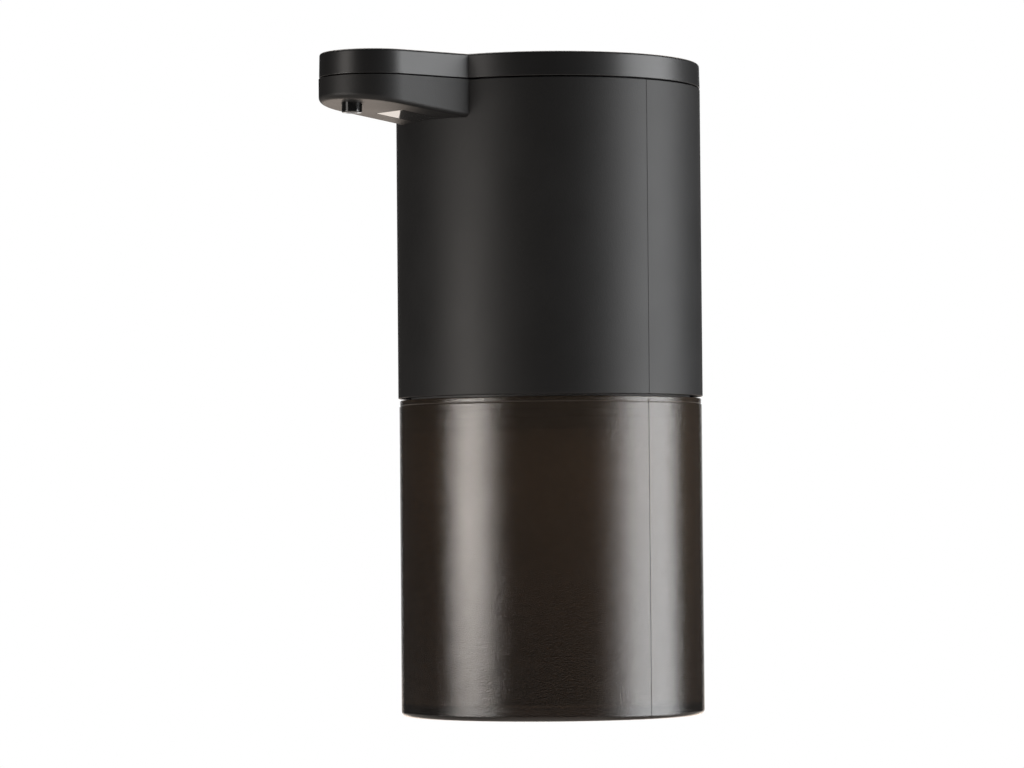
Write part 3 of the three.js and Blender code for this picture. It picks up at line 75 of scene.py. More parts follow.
rightwards = Vector((math.cos(CAMERA_ANGLE), math.sin(CAMERA_ANGLE), 0))
view = bpy.data.cameras.new("camera")
view.sensor_width = 36
view.lens = LENS
view.clip_end = 50
camera = bpy.data.objects.new("camera", view)
aim = around(CAMERA_ANGLE, 0, AIM_HEIGHT) - AIM_LEFT * rightwards
camera.matrix_world = facing(
    around(CAMERA_ANGLE, CAMERA_DISTANCE, CAMERA_HEIGHT), aim, -CAMERA_ROLL,
)
bpy.context.scene.collection.objects.link(camera)
bpy.context.scene.camera = camera
bpy.context.scene.view_settings.view_transform = "Standard"


def softbox(name, offset, distance, height, width, tall, radiance, colour=(1, 1, 1)):
    """A soft light at an angle round from the camera, with a given brightness of its face."""
    light = bpy.data.lights.new(name, "AREA")
    light.shape = "RECTANGLE"
    light.size = width
    light.size_y = tall
    light.energy = radiance * math.pi * width * tall
    light.color = colour
    lamp = bpy.data.objects.new(name, light)
    lamp.matrix_world = facing(
        around(CAMERA_ANGLE + math.radians(offset), distance, height),
        around(CAMERA_ANGLE, 0, height),
    )
    lamp.visible_camera = False
    bpy.context.scene.collection.objects.link(lamp)


softbox("left_strip", -62, 0.5, 0.048, 0.26, 0.126, 9.6, (1.0, 0.95, 0.9))
softbox("left_fill", -56, 1.2, 0.5, 0.5, 0.8, 2.1, (1.0, 0.95, 0.91))
softbox("right_softbox", 81, 0.65, 0.12, 0.55, 0.85, 6.2, (0.98, 0.99, 1.0))
softbox("right_spill", 52, 0.65, 0.03, 0.16, 0.13, 2.6, (1.0, 0.93, 0.88))
softbox("rear_white", 180, 1.0, 0.5, 0.55, 1.06, 1.0)
softbox("rear_low", 180, 1.0, -0.1, 0.55, 0.14, 1.25, (1.0, 0.9, 0.82))
softbox("rear_top", 180, 1.2, 0.9, 1.2, 0.3, 4.0, (1.0, 0.88, 0.78))
softbox("rear_warm", 180, 0.9, -0.3, 0.7, 0.3, 2.2, (1.0, 0.82, 0.68))
softbox("overhead", 200, 0.5, 1.4, 1.2, 1.2, 4.0, (1.0, 0.97, 0.94))


class Shade:
    """A shader value. Arithmetic on it adds Math nodes, and node() adds any other node."""

    def __init__(self, tree, output=None):
        self.tree = tree
        self.output = output

    def node(self, kind, sockets=None, output=0, **settings):
        added = self.tree.nodes.new("ShaderNode" + kind)
        for name, value in settings.items():
            setattr(added, name, value)
        for name, value in (sockets or {}).items():
            if isinstance(value, Shade):
                self.tree.links.new(value.output, added.inputs[name])
            else:
                added.inputs[name].default_value = value
        return Shade(self.tree, added.outputs[output])

    def math(self, operation, first, second=0.0):
        return self.node("Math", {0: first, 1: second}, operation=operation)

    def __add__(self, other):
        return self.math("ADD", self, other)

    def __radd__(self, other):
        return self.math("ADD", other, self)

    def __sub__(self, other):
        return self.math("SUBTRACT", self, other)

    def __rsub__(self, other):
        return self.math("SUBTRACT", other, self)

    def __mul__(self, other):
        return self.math("MULTIPLY", self, other)

    def __rmul__(self, other):
        return self.math("MULTIPLY", other, self)

    def between(self, low, high):
        """This value mapped from low..high to 0..1, smoothly and clamped."""
        mapped = {"Value": self, "From Min": low, "From Max": high}
        return self.node("MapRange", mapped, interpolation_type="SMOOTHSTEP")

    def blend(self, first, second):
        """One colour or another by this value, from 0 to 1."""
        ends = {6: first, 7: second}
        ends = {key: (*end, 1) if isinstance(end, tuple) else end for key, end in ends.items()}
        return self.node("Mix", {0: self, **ends}, output=2, data_type="RGBA")


SURROUND_SEEN = 1.0
SURROUND_LIGHT = 0.04
world = bpy.data.worlds.new("white_surround")
world.use_nodes = True
tree = world.node_tree
seen = Shade(tree).node("LightPath", output="Is Camera Ray")
strength = SURROUND_LIGHT + (SURROUND_SEEN - SURROUND_LIGHT) * seen
tree.links.new(strength.output, tree.nodes["Background"].inputs["Strength"])
tree.nodes["Background"].inputs["Color"].default_value = (1, 1, 1, 1)
bpy.context.scene.world = world


# Floor: a pale floor well below the dispenser, which hangs on a wall that isn't shown. It is painted
# and glows a little, so that it stays pale, and it lies out of the camera's view.
MM = 0.001
FLOOR_DROP = 1.0
FLOOR_RADIUS = 8.0
FLOOR_GLOW = 0.5


def finish(name, build):
    """A material whose build function sets up its surface from a place in millimetres."""
    material = bpy.data.materials.new(name)
    material["slot"] = name
    material.use_nodes = True
    tree = material.node_tree
    surface = tree.nodes["Principled BSDF"]
    shade = Shade(tree)
    place = shade.node("TexCoord", output=3)
    place = shade.node("VectorMath", {0: place, 3: 1 / MM}, operation="SCALE")

    def connect(socket, value):
        if isinstance(value, Shade):
            tree.links.new(value.output, surface.inputs[socket])
        elif isinstance(value, tuple):
            surface.inputs[socket].default_value = (*value, 1)
        else:
            surface.inputs[socket].default_value = value

    build(shade, place, connect)
    return material


def noise(shade, place, scale, detail=2.0, roughness=0.5):
    """Soft random values about 0.5, with features about 1 / scale millimetres across."""
    sockets = {"Vector": place, "Scale": scale, "Detail": detail, "Roughness": roughness}
    return shade.node("TexNoise", sockets)


def bumped(shade, height, depth):
    """A normal from a height whose whole range is a depth in millimetres."""
    return shade.node("Bump", {"Height": height, "Distance": depth * MM, "Strength": 1.0})


def painted(shade, place, connect):
    blotches = noise(shade, place, 0.004, 3.0).between(0.3, 0.7)
    tint = blotches.blend((0.81, 0.74, 0.68), (0.83, 0.76, 0.7))
    connect("Base Color", tint)
    connect("Emission Color", tint)
    connect("Emission Strength", FLOOR_GLOW)
    connect("Roughness", 0.7 + 0.1 * blotches)
    connect("Normal", bumped(shade, noise(shade, place, 0.5, 4.0), 0.05))


surface = bmesh.new()
bmesh.ops.create_circle(surface, cap_ends=True, segments=128, radius=FLOOR_RADIUS)
floor_mesh = bpy.data.meshes.new("floor")
surface.to_mesh(floor_mesh)
surface.free()
floor_mesh.materials.append(finish("pale_floor", painted))
floor = bpy.data.objects.new("floor", floor_mesh)
floor.location = (0, AXIS_Y, FOOT_Z - FLOOR_DROP)
bpy.context.scene.collection.objects.link(floor)


# Wall bracket: a slim moulded plate with two upward hooks and two countersunk screw holes. A foam
# pad behind it sticks it to the wall, and the dispenser's slotted back drops over the hooks.


def at(x, y, z):
    """A point in the dispenser's own millimetres: axis at x = y = 0, foot at z = 0."""
    return Vector((x * MM, AXIS_Y + y * MM, FOOT_Z + z * MM))


def extent(node):
    """A node's lowest and highest corners in the dispenser's own millimetres."""
    low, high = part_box(node)
    origin = Vector((0, AXIS_Y, FOOT_Z))
    return (low - origin) / MM, (high - origin) / MM


def made(name, surface, material, body, *stands_for):
    """Turns a bmesh into a named piece that rides on a body and stands for CAD nodes."""
    mesh = bpy.data.meshes.new(name)
    bmesh.ops.remove_doubles(surface, verts=surface.verts, dist=0.002 * MM)
    bmesh.ops.recalc_face_normals(surface, faces=surface.faces)
    surface.to_mesh(mesh)
    surface.free()
    mesh.shade_smooth()
    mesh.set_sharp_from_angle(angle=math.radians(32))
    mesh.materials.append(material)
    piece = bpy.data.objects.new(name, mesh)
    bpy.context.scene.collection.objects.link(piece)
    even = piece.modifiers.new("even_shading", "WEIGHTED_NORMAL")
    even.keep_sharp = True
    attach(piece, body)
    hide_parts(*stands_for)
    return piece


def skin(rings, looped=False):
    """A closed surface through rings of points; the two end rings are filled unless it loops."""
    surface = bmesh.new()
    rows = [[surface.verts.new(point) for point in ring] for ring in rings]
    pairs = list(zip(rows, rows[1:]))
    if looped:
        pairs.append((rows[-1], rows[0]))
    else:
        surface.faces.new(rows[0][::-1])
        surface.faces.new(rows[-1])
    for lower, upper in pairs:
        count = len(lower)
        for i in range(count):
            j = (i + 1) % count
            surface.faces.new((lower[i], lower[j], upper[j], upper[i]))
    bmesh.ops.recalc_face_normals(surface, faces=surface.faces)
    return surface


def softened(corners, closed=True):
    """Corners (x, y, radius) as an outline's points, with each corner rounded to its radius."""
    points = []
    for i, (x, y, radius) in enumerate(corners):
        corner = Vector((x, y))
        if not radius or (not closed and i in (0, len(corners) - 1)):
            points.append((x, y))
            continue
        back = (Vector(corners[i - 1][:2]) - corner).normalized()
        ahead = (Vector(corners[(i + 1) % len(corners)][:2]) - corner).normalized()
        half = back.angle(ahead) / 2
        centre = corner + (back + ahead).normalized() * radius / math.sin(half)
        start = corner + back * radius / math.tan(half) - centre
        turn = start.angle_signed(corner + ahead * radius / math.tan(half) - centre)
        steps = max(2, round(abs(turn) / math.radians(18)))
        for k in range(steps + 1):
            spoke = start.copy()
            spoke.rotate(Matrix.Rotation(-turn * k / steps, 2))
            points.append(tuple(centre + spoke))
    return points


def slab(x0, y0, z0, x1, y1, z1, edge=0.0, steps=3):
    """A block between two corners, with all its edges rounded."""
    surface = bmesh.new()
    bmesh.ops.create_cube(surface, size=1)
    low, high = at(x0, y0, z0), at(x1, y1, z1)
    for vert in surface.verts:
        vert.co = Vector(low[k] if vert.co[k] < 0 else high[k] for k in range(3))
    if edge:
        bmesh.ops.bevel(
            surface, geom=surface.edges[:], offset=edge * MM, segments=steps,
            profile=0.5, affect="EDGES",
        )
    return surface


def rod(x, z, y0, y1, radius, flare=0.0, sides=48):
    """A round cutter along Y through x and z, wider by a flare at its y0 end."""
    turns = [2 * math.pi * i / sides for i in range(sides)]
    return skin([
        [at(x + r * math.cos(a), y, z + r * math.sin(a)) for a in turns]
        for y, r in ((y0, radius + flare), (y1, radius))
    ])


def combined(operation, whole, *others):
    """A bmesh with others cut from it or joined to it; all of them are used up."""
    objects = []
    for shape in (whole, *others):
        mesh = bpy.data.meshes.new("shape")
        shape.to_mesh(mesh)
        shape.free()
        thing = bpy.data.objects.new("shape", mesh)
        bpy.context.scene.collection.objects.link(thing)
        objects.append(thing)
    for other in objects[1:]:
        step = objects[0].modifiers.new("step", "BOOLEAN")
        step.operation = operation
        step.solver = "EXACT"
        step.object = other
    result = bmesh.new()
    result.from_mesh(objects[0].evaluated_get(bpy.context.evaluated_depsgraph_get()).to_mesh())
    for thing in objects:
        mesh = thing.data
        bpy.data.objects.remove(thing)
        bpy.data.meshes.remove(mesh)
    return result


def joined(whole, *others):
    return combined("UNION", whole, *others)


def cut(whole, *others):
    return combined("DIFFERENCE", whole, *others)


def moulded(name, colour, rough, grain=2.6, depth=0.02, specular=0.5):
    """Injection-moulded plastic: spark-eroded grain, and faint clouding from the way it flowed."""

    def build(shade, place, connect):
        clouds = noise(shade, place, 0.05, 3.0).between(0.3, 0.7)
        texture = noise(shade, place, grain, 3.0, 0.6)
        darker = tuple(0.9 * c for c in colour)
        lighter = tuple(1.12 * c for c in colour)
        connect("Base Color", clouds.blend(darker, lighter))
        connect("Roughness", rough - 0.045 + 0.04 * clouds + 0.05 * texture)
        connect("Normal", bumped(shade, texture, depth))
        connect("Specular IOR Level", specular)

    return finish(name, build)


PLATE_THICK = 3.0
HOOK_WIDTH = 10.0
HOOK_POST = 3.0
HOOK_TONGUE = 7.0
HOOK_THICK = 2.0
HOOK_PITCH = 16.0
SCREW_PITCH = 37.0
SCREW_HOLE_R = 2.25
SCREW_SINK = 1.6
PLATE_EDGE = 0.8
HOOK_EDGE = 0.35
HOOK_OFFSET = 1.0
PAST = 1.0
HAIR = 0.01
FIT = 0.3
bracket_black = moulded("bracket_black", (0.02, 0.02, 0.021), 0.5)
plate_low, plate_high = extent("wall_bracket")
plate_face = plate_high.y - PLATE_THICK
plate_middle = (plate_low.z + plate_high.z) / 2
hook_tops = [plate_middle + side * HOOK_PITCH / 2 - HOOK_OFFSET for side in (-1, 1)]
wall_screws = [plate_middle + side * SCREW_PITCH / 2 for side in (-1, 1)]
plate = slab(
    plate_low.x, plate_face, plate_low.z, plate_high.x, plate_high.y, plate_high.z, PLATE_EDGE, 4,
)
half = HOOK_WIDTH / 2
hooks = []
for top in hook_tops:
    foot = top - HOOK_POST
    tip = top + HOOK_TONGUE
    tongue_back = plate_low.y + HOOK_THICK
    hooks.append(slab(-half, plate_low.y, foot, half, plate_face + PAST, top, HOOK_EDGE))
    hooks.append(slab(-half, plate_low.y, foot, half, tongue_back, tip, HOOK_EDGE))
holes = []
for z in wall_screws:
    holes.append(rod(0, z, plate_face - PAST, plate_high.y + PAST, SCREW_HOLE_R))
    holes.append(rod(0, z, plate_face - HAIR, plate_face + SCREW_SINK, SCREW_HOLE_R, SCREW_SINK))
bracket = cut(joined(plate, *hooks), *holes)
made("bracket_plate", bracket, bracket_black, "bracket", "wall_bracket")


def foam(shade, place, connect):
    cells = shade.node("TexVoronoi", {"Vector": place, "Scale": 2.2, "Randomness": 1.0})
    connect("Base Color", cells.between(0.0, 0.6).blend((0.012, 0.012, 0.012), (0.04, 0.04, 0.041)))
    connect("Roughness", 0.9)
    connect("Normal", bumped(shade, cells, 0.12))


low, high = extent("adhesive_pad")
pad = slab(low.x, low.y, low.z, high.x, high.y, high.z, 0.15, 2)
PAD_HOLE_R = SCREW_HOLE_R + 0.4
pad_holes = [rod(0, z, low.y - PAST, high.y + PAST, PAD_HOLE_R) for z in wall_screws]
made("foam_pad", cut(pad, *pad_holes), finish("foam_tape", foam), "bracket", "adhesive_pad")


# Deck: a moulded disc that closes the housing's foot. Its skirt plugs the tank, and carries a
# rubber ring that holds the tank on. Three screws go up through it into the housing.
inner_plastic = moulded("inner_plastic", (0.1, 0.1, 0.102), 0.45, grain=1.6, depth=0.03)
PLUG_WALL = 2.2
SEAL_R = 1.1
SEAL_SQUEEZE = 0.9
GROOVE_GAP = 0.15
GROOVE_HALF = SEAL_R + GROOVE_GAP
LEAD_IN = 0.8
LEAD_IN_HEIGHT = 1.2
DECK_THICK = 2.4
POST_HEIGHT = 8.0
POST_THICK = 1.2
POST_HALF = 1.5
BOARD_GAP = 0.15
CLEARANCE_HOLE_R = 1.2
GROMMET_R = 3.7
GROMMET_LIP_R = 4.6
GROMMET_LIP = 1.0
GROMMET_BORE_R = 2.5
GROMMET_GAP = 0.15
VENT_X = 14.0
VENT_R = 0.6


def turned(corners, sides, x=0.0, y=0.0, looped=False):
    """A profile of (radius, z, corner radius) turned about a vertical axis."""
    surface = bmesh.new()
    spokes = [2 * math.pi * i / sides for i in range(sides)]
    rows = []
    for r, z in softened(corners, closed=looped):
        around_axis = spokes if r > 1e-6 else [0.0]
        rows.append([
            surface.verts.new(at(x + r * math.cos(a), y + r * math.sin(a), z)) for a in around_axis
        ])
    pairs = list(zip(rows, rows[1:])) + ([(rows[-1], rows[0])] if looped else [])
    for lower, upper in pairs:
        for i in range(sides):
            j = (i + 1) % sides
            ring = [lower[i % len(lower)], lower[j % len(lower)]]
            ring += [upper[j % len(upper)], upper[i % len(upper)]]
            corners_used = list(dict.fromkeys(ring))
            if len(corners_used) > 2:
                surface.faces.new(corners_used)
    bmesh.ops.recalc_face_normals(surface, faces=surface.faces)
    return surface


def peg(x, y, z0, z1, radius, sides=40):
    """A plain upright cylinder, to cut a hole or stand as a boss."""
    return turned([(0, z0, 0), (radius, z0, 0), (radius, z1, 0), (0, z1, 0)], sides, x, y)


def middle(node):
    """A node's centre in the dispenser's own millimetres."""
    low, high = extent(node)
    return (low + high) / 2


low, high = extent("pump_deck")
seal_low, seal_high = extent("tank_seal")
seal_z = (seal_low.z + seal_high.z) / 2
plug_r = seal_high.x - SEAL_SQUEEZE
groove_r = plug_r - SEAL_R - FIT
DECK_TOP = high.z - POST_HEIGHT
DECK_UNDER = DECK_TOP - DECK_THICK
deck = turned(
    [
        (0, DECK_TOP, 0), (high.x, DECK_TOP, 0.3), (high.x, DECK_UNDER, 0.3),
        (plug_r, DECK_UNDER, 0.2), (plug_r, seal_z + GROOVE_HALF, 0.1),
        (groove_r, seal_z + GROOVE_HALF, 0.2), (groove_r, seal_z - GROOVE_HALF, 0.2),
        (plug_r, seal_z - GROOVE_HALF, 0.1), (plug_r, low.z + LEAD_IN_HEIGHT, 0.4),
        (plug_r - LEAD_IN, low.z, 0.3), (plug_r - PLUG_WALL, low.z, 0.4),
        (plug_r - PLUG_WALL, DECK_UNDER, 1.0), (0, DECK_UNDER, 0),
    ],
    192,
)
posts = []
board_low, board_high = extent("main_board")
for x in (board_low.x, board_high.x):
    for y in (board_low.y - BOARD_GAP - POST_THICK, board_high.y + BOARD_GAP):
        posts.append(slab(
            x - POST_HALF, y, DECK_TOP - PAST, x + POST_HALF, y + POST_THICK, high.z, 0.2, 2,
        ))
deck_screws = [middle(f"deck_screw_{i}") for i in (1, 2, 3)]
pump_screws = [middle(f"pump_screw_{i}") for i in (1, 2, 3)]
grommet_centre = middle("deck_grommet")
through = (low.z, DECK_TOP + PAST)
holes = [peg(spot.x, spot.y, *through, CLEARANCE_HOLE_R) for spot in deck_screws + pump_screws]
holes.append(peg(grommet_centre.x, grommet_centre.y, *through, GROMMET_R + GROMMET_GAP))
holes.append(peg(VENT_X, grommet_centre.y, *through, VENT_R))
made("deck_moulding", cut(joined(deck, *posts), *holes), inner_plastic, "dispenser", "pump_deck")


def rubber(shade, place, connect):
    bloom = noise(shade, place, 0.4, 3.0).between(0.4, 0.7)
    connect("Base Color", bloom.blend((0.014, 0.014, 0.014), (0.03, 0.03, 0.029)))
    connect("Roughness", 0.62 + 0.12 * bloom)
    connect("Normal", bumped(shade, noise(shade, place, 3.0, 2.0), 0.012))


seal_rubber = finish("seal_rubber", rubber)
ring_inner = seal_high.x - 2 * SEAL_R
ring_round = 0.99 * SEAL_R
ring = turned(
    [
        (ring_inner, seal_low.z, ring_round), (seal_high.x, seal_low.z, ring_round),
        (seal_high.x, seal_high.z, ring_round), (ring_inner, seal_high.z, ring_round),
    ],
    192, looped=True,
)
made("seal_ring", ring, seal_rubber, "dispenser", "tank_seal")
x, y = grommet_centre.x, grommet_centre.y
lip_low, lip_high = DECK_UNDER - GROMMET_LIP, DECK_TOP + GROMMET_LIP
grommet = turned(
    [
        (GROMMET_BORE_R, lip_low, 0.2), (GROMMET_LIP_R, lip_low, 0.4),
        (GROMMET_LIP_R, DECK_UNDER, 0.1), (GROMMET_R, DECK_UNDER, 0), (GROMMET_R, DECK_TOP, 0),
        (GROMMET_LIP_R, DECK_TOP, 0.1), (GROMMET_LIP_R, lip_high, 0.4),
        (GROMMET_BORE_R, lip_high, 0.2),
    ],
    64, x, y, looped=True,
)
made("grommet_ring", grommet, seal_rubber, "dispenser", "deck_grommet")


def metal(name, colour, rough, lines=12.0):
    """Plated steel with the faint lines left by its forming, and dulled a little by handling."""

    def build(shade, place, connect):
        stretched = shade.node("VectorMath", {0: place, 1: (1, 1, 0.06)}, operation="MULTIPLY")
        streaks = noise(shade, stretched, lines, 2.0)
        dull = noise(shade, place, 0.3, 3.0).between(0.4, 0.7)
        connect("Base Color", dull.blend(colour, tuple(0.82 * c for c in colour)))
        connect("Metallic", 1.0)
        connect("Roughness", rough + 0.1 * dull + 0.06 * streaks)
        connect("Normal", bumped(shade, streaks, 0.004))

    return finish(name, build)


HEAD_R = 2.0
HEAD_HEIGHT = 1.3
THREAD_R = 1.0
POINT_R = 0.5
POINT_LENGTH = 0.6
DRIVE_HALF = 0.26
DRIVE_DEPTH = 0.7
steel = metal("steel", (0.6, 0.59, 0.57), 0.24)
for number, spot in enumerate(deck_screws, 1):
    screw_low, screw_high = extent(f"deck_screw_{number}")
    base, tip = screw_low.z, screw_high.z
    screw = turned(
        [
            (0, base, 0), (HEAD_R, base, 0.55), (HEAD_R, base + HEAD_HEIGHT, 0.1),
            (THREAD_R, base + HEAD_HEIGHT, 0.1), (THREAD_R, tip - POINT_LENGTH, 0.1), (POINT_R, tip, 0.1),
            (0, tip, 0),
        ],
        48, spot.x, spot.y,
    )
    drive = [
        slab(spot.x - w, spot.y - d, base - 1, spot.x + w, spot.y + d, base + DRIVE_DEPTH)
        for w, d in ((THREAD_R, DRIVE_HALF), (DRIVE_HALF, THREAD_R))
    ]
    made(f"deck_fixing_{number}", cut(screw, *drive), steel, "dispenser", f"deck_screw_{number}")


# Dip tube: a straight acetal tube from the deck's elbow to near the tank's floor. A slotted foot on
# its end keeps lumps out of the pump.
acetal = moulded("acetal", (0.62, 0.61, 0.58), 0.34, grain=1.2, depth=0.01)


def carried(material, *nodes):
    """Gives its finish to each node that keeps its CAD shape."""
    for node in nodes:
        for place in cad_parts[node].material_slots:
            place.link = "OBJECT"
            place.material = material


PIPE_R = 2.5
PIPE_BORE_R = 1.7
STRAINER_R = 4.5
STRAINER_BORE_R = 2.6
STRAINER_FLOOR = 1.4
STRAINER_LIP = 1.0
STRAINER_CUTS = 4
CUT_HALF = 0.5
CUT_DEPTH = 1.0
CUT_REACH = 6.0
low, high = extent("dip_tube")
x, y = (low.x + high.x) / 2, (low.y + high.y) / 2
tube = turned(
    [
        (PIPE_R, low.z, 0.1), (PIPE_R, high.z, 0.1), (PIPE_BORE_R, high.z, 0.1),
        (PIPE_BORE_R, low.z, 0.1),
    ],
    48, x, y, looped=True,
)
made("dip_pipe", tube, acetal, "dispenser", "dip_tube")
low, high = extent("intake_strainer")
foot = turned(
    [
        (0, low.z, 0), (STRAINER_R, low.z, 0.4), (STRAINER_R, high.z - STRAINER_LIP, 0.3),
        (STRAINER_R - STRAINER_LIP, high.z, 0.2), (STRAINER_BORE_R, high.z, 0.1),
        (STRAINER_BORE_R, low.z + STRAINER_FLOOR, 0), (0, low.z + STRAINER_FLOOR, 0),
    ],
    64, x, y,
)
slots = []
for number in range(STRAINER_CUTS):
    slot = slab(
        x - CUT_REACH, y - CUT_HALF, low.z - PAST, x + CUT_REACH, y + CUT_HALF, low.z + CUT_DEPTH,
    )
    spin = Matrix.Rotation(math.pi * number / STRAINER_CUTS, 4, "Z")
    centre = Matrix.Translation(at(x, y, 0))
    slot.transform(centre @ spin @ centre.inverted())
    slots.append(slot)
made("strainer_foot", cut(foot, *slots), acetal, "dispenser", "intake_strainer")


# Pump: a peristaltic pump. Three rollers on a rotor squeeze a silicone hose round a race, so soap
# touches only the hose. Its case is screwed down to the deck under the gears.
carried(inner_plastic, "pump_case", "pump_cover", "gear_plate", "cell_cup")
carried(acetal, "pump_rotor", "rotor_wheel", "idler_gear", "motor_pinion", "inlet_elbow")
carried(acetal, "roller_1", "roller_2", "roller_3")
carried(steel, "rotor_axle", "roller_pin_1", "roller_pin_2", "roller_pin_3", "idler_pin")
carried(steel, "motor_shaft", "pump_screw_1", "pump_screw_2", "pump_screw_3", "charging_socket")


def clear_rubber(shade, place, connect):
    haze = noise(shade, place, 0.6, 3.0).between(0.3, 0.7)
    connect("Base Color", haze.blend((0.7, 0.69, 0.64), (0.78, 0.77, 0.73)))
    connect("Roughness", 0.3 + 0.12 * haze)
    connect("Transmission Weight", 0.35)
    connect("IOR", 1.41)
    connect("Normal", bumped(shade, haze, 0.02))


carried(finish("silicone", clear_rubber), "pump_hose", "outlet_hose")


# Motor and power: a can motor stands on the gear plate, and a rechargeable cell beside it in a cup.
# The main board holds the charging socket and the controller, and wires run from it to both.
can_steel = metal("can_steel", (0.52, 0.52, 0.51), 0.3, lines=6.0)
carried(can_steel, "motor_can")
carried(metal("switch_steel", (0.62, 0.61, 0.59), 0.28), "button_switch")
chip_black = moulded("chip_black", (0.012, 0.012, 0.013), 0.55, grain=5.0, depth=0.01)
carried(chip_black, "controller_chip", "switch_plunger", "motor_end_cap")


def solder_mask(shade, place, connect):
    wave = {"Vector": place, "Scale": 1.6, "Distortion": 0.4}
    weave = shade.node("TexWave", wave, output=1)
    bricks = {"Vector": place, "Scale": 0.35, "Mortar Size": 0.06}
    tracks = shade.node("TexBrick", bricks, output=1)
    mask = (0.01, 0.075, 0.03)
    connect("Base Color", (tracks * 0.6 + weave * 0.15).blend(mask, (0.03, 0.16, 0.07)))
    connect("Roughness", 0.28 + 0.1 * weave)
    connect("Normal", bumped(shade, tracks, 0.03))


board_green = finish("board_green", solder_mask)
carried(board_green, "main_board", "sensor_board", "button_board")


def shrink_wrap(shade, place, connect):
    creases = noise(shade, place, 0.7, 4.0, 0.6)
    connect("Base Color", creases.between(0.3, 0.7).blend((0.02, 0.09, 0.3), (0.03, 0.12, 0.36)))
    connect("Roughness", 0.22 + 0.12 * creases)
    connect("Normal", bumped(shade, creases, 0.05))


carried(finish("cell_wrap", shrink_wrap), "battery_cell")


def jacket(name, colour):
    """Soft extruded wire insulation, with faint marks along it."""

    def build(shade, place, connect):
        marks = noise(shade, place, 1.5, 3.0)
        darker = tuple(0.8 * c for c in colour)
        connect("Base Color", marks.between(0.3, 0.7).blend(darker, colour))
        connect("Roughness", 0.38 + 0.12 * marks)
        connect("Normal", bumped(shade, marks, 0.015))

    return finish(name, build)


carried(jacket("wire_red", (0.45, 0.02, 0.015)), "motor_wire_red", "battery_lead")
carried(seal_rubber, "motor_wire_black")


# Housing: the matte black barrel and the lower half of its spout, moulded in one piece. Two mould
# halves meet on a fine line down each side, and its back is let in for the bracket and the port.
BARREL_R = 37.5
WALL = 2.0
SPOUT_TIP_R = 12.75
SPOUT_TAPER = math.radians(1.5)
ROOT_DEPTH = 8.85
SPOUT_RISE = 0.119
UNDER_EDGE = 1.3
SPOUT_START = -20.0
RIM_DEPTH = 3.0
NOTCH = 0.06
NOTCH_EDGE = 0.12
NOTCH_FLOOR = 0.04
BARREL_SIDES = 192
TIP_STEPS = 40
EDGE_STEPS = 6
low, high = extent("housing")
HOUSING_LOW = low.z
HOUSING_TOP = high.z
SPOUT_CENTRE = SPOUT_TIP_R + low.y
matte_black = moulded("matte_black", (0.007, 0.007, 0.0073), 0.5, specular=0.34)


def underside(y):
    """The height of the spout's sloping underside."""
    return HOUSING_TOP - ROOT_DEPTH - SPOUT_RISE * (y + BARREL_R)


def barrel_ring(radius, z, notch=0.0):
    """One level of the barrel, with the mould's parting line as a fine notch at each side."""
    spots = []
    for i in range(BARREL_SIDES):
        if i % (BARREL_SIDES // 2) == 0:
            spots += [(i, -NOTCH_EDGE, 0.0), (i, -NOTCH_FLOOR, notch)]
            spots += [(i, NOTCH_FLOOR, notch), (i, NOTCH_EDGE, 0.0)]
        else:
            spots.append((i, 0.0, 0.0))
    points = []
    for i, lean, drop in spots:
        a = 2 * math.pi * (i + lean) / BARREL_SIDES
        points.append(at((radius - drop) * math.cos(a), (radius - drop) * math.sin(a), z))
    return points


def spout_outline(inset, root=0.0):
    """The spout's plan: two sides that open slightly towards the body, and a round tip."""
    r = SPOUT_TIP_R - inset
    touch_x = r * math.cos(SPOUT_TAPER)
    touch_y = SPOUT_CENTRE - r * math.sin(SPOUT_TAPER)
    root_x = touch_x + (root - touch_y) * math.tan(SPOUT_TAPER)
    sweep = math.pi - 2 * SPOUT_TAPER
    turns = [-SPOUT_TAPER - sweep * k / TIP_STEPS for k in range(TIP_STEPS + 1)]
    tip = [(r * math.cos(a), SPOUT_CENTRE + r * math.sin(a)) for a in turns]
    return [(root_x, root), *tip, (-root_x, root)]


def spout_block(inset, raised, top, edge, root):
    """The spout below the lid, with a rounded edge round its sloping underside."""
    turns = [math.pi / 2 * k / EDGE_STEPS for k in range(EDGE_STEPS + 1)] if edge else [math.pi / 2]
    rings = []
    for a in turns:
        shrink = inset + edge * (1 - math.sin(a))
        lift = raised + edge * (1 - math.cos(a))
        rings.append([at(x, y, underside(y) + lift) for x, y in spout_outline(shrink, root)])
    rings.append([at(x, y, top) for x, y in spout_outline(inset, root)])
    return skin(rings)


barrel_profile = softened(
    [
        (BARREL_R - RIM_DEPTH, HOUSING_LOW, 0), (BARREL_R, HOUSING_LOW, 0.25),
        (BARREL_R, HOUSING_TOP, 0.2), (BARREL_R - RIM_DEPTH, HOUSING_TOP, 0),
    ],
    closed=False,
)
outer = skin([barrel_ring(r, z, NOTCH) for r, z in barrel_profile])
outer = joined(outer, spout_block(0, 0, HOUSING_TOP, UNDER_EDGE, SPOUT_START))
inner_r = BARREL_R - WALL
inside = skin([barrel_ring(inner_r, z) for z in (HOUSING_LOW - PAST, HOUSING_TOP + PAST)])
channel = spout_block(WALL, WALL, HOUSING_TOP + PAST, 0, 0)

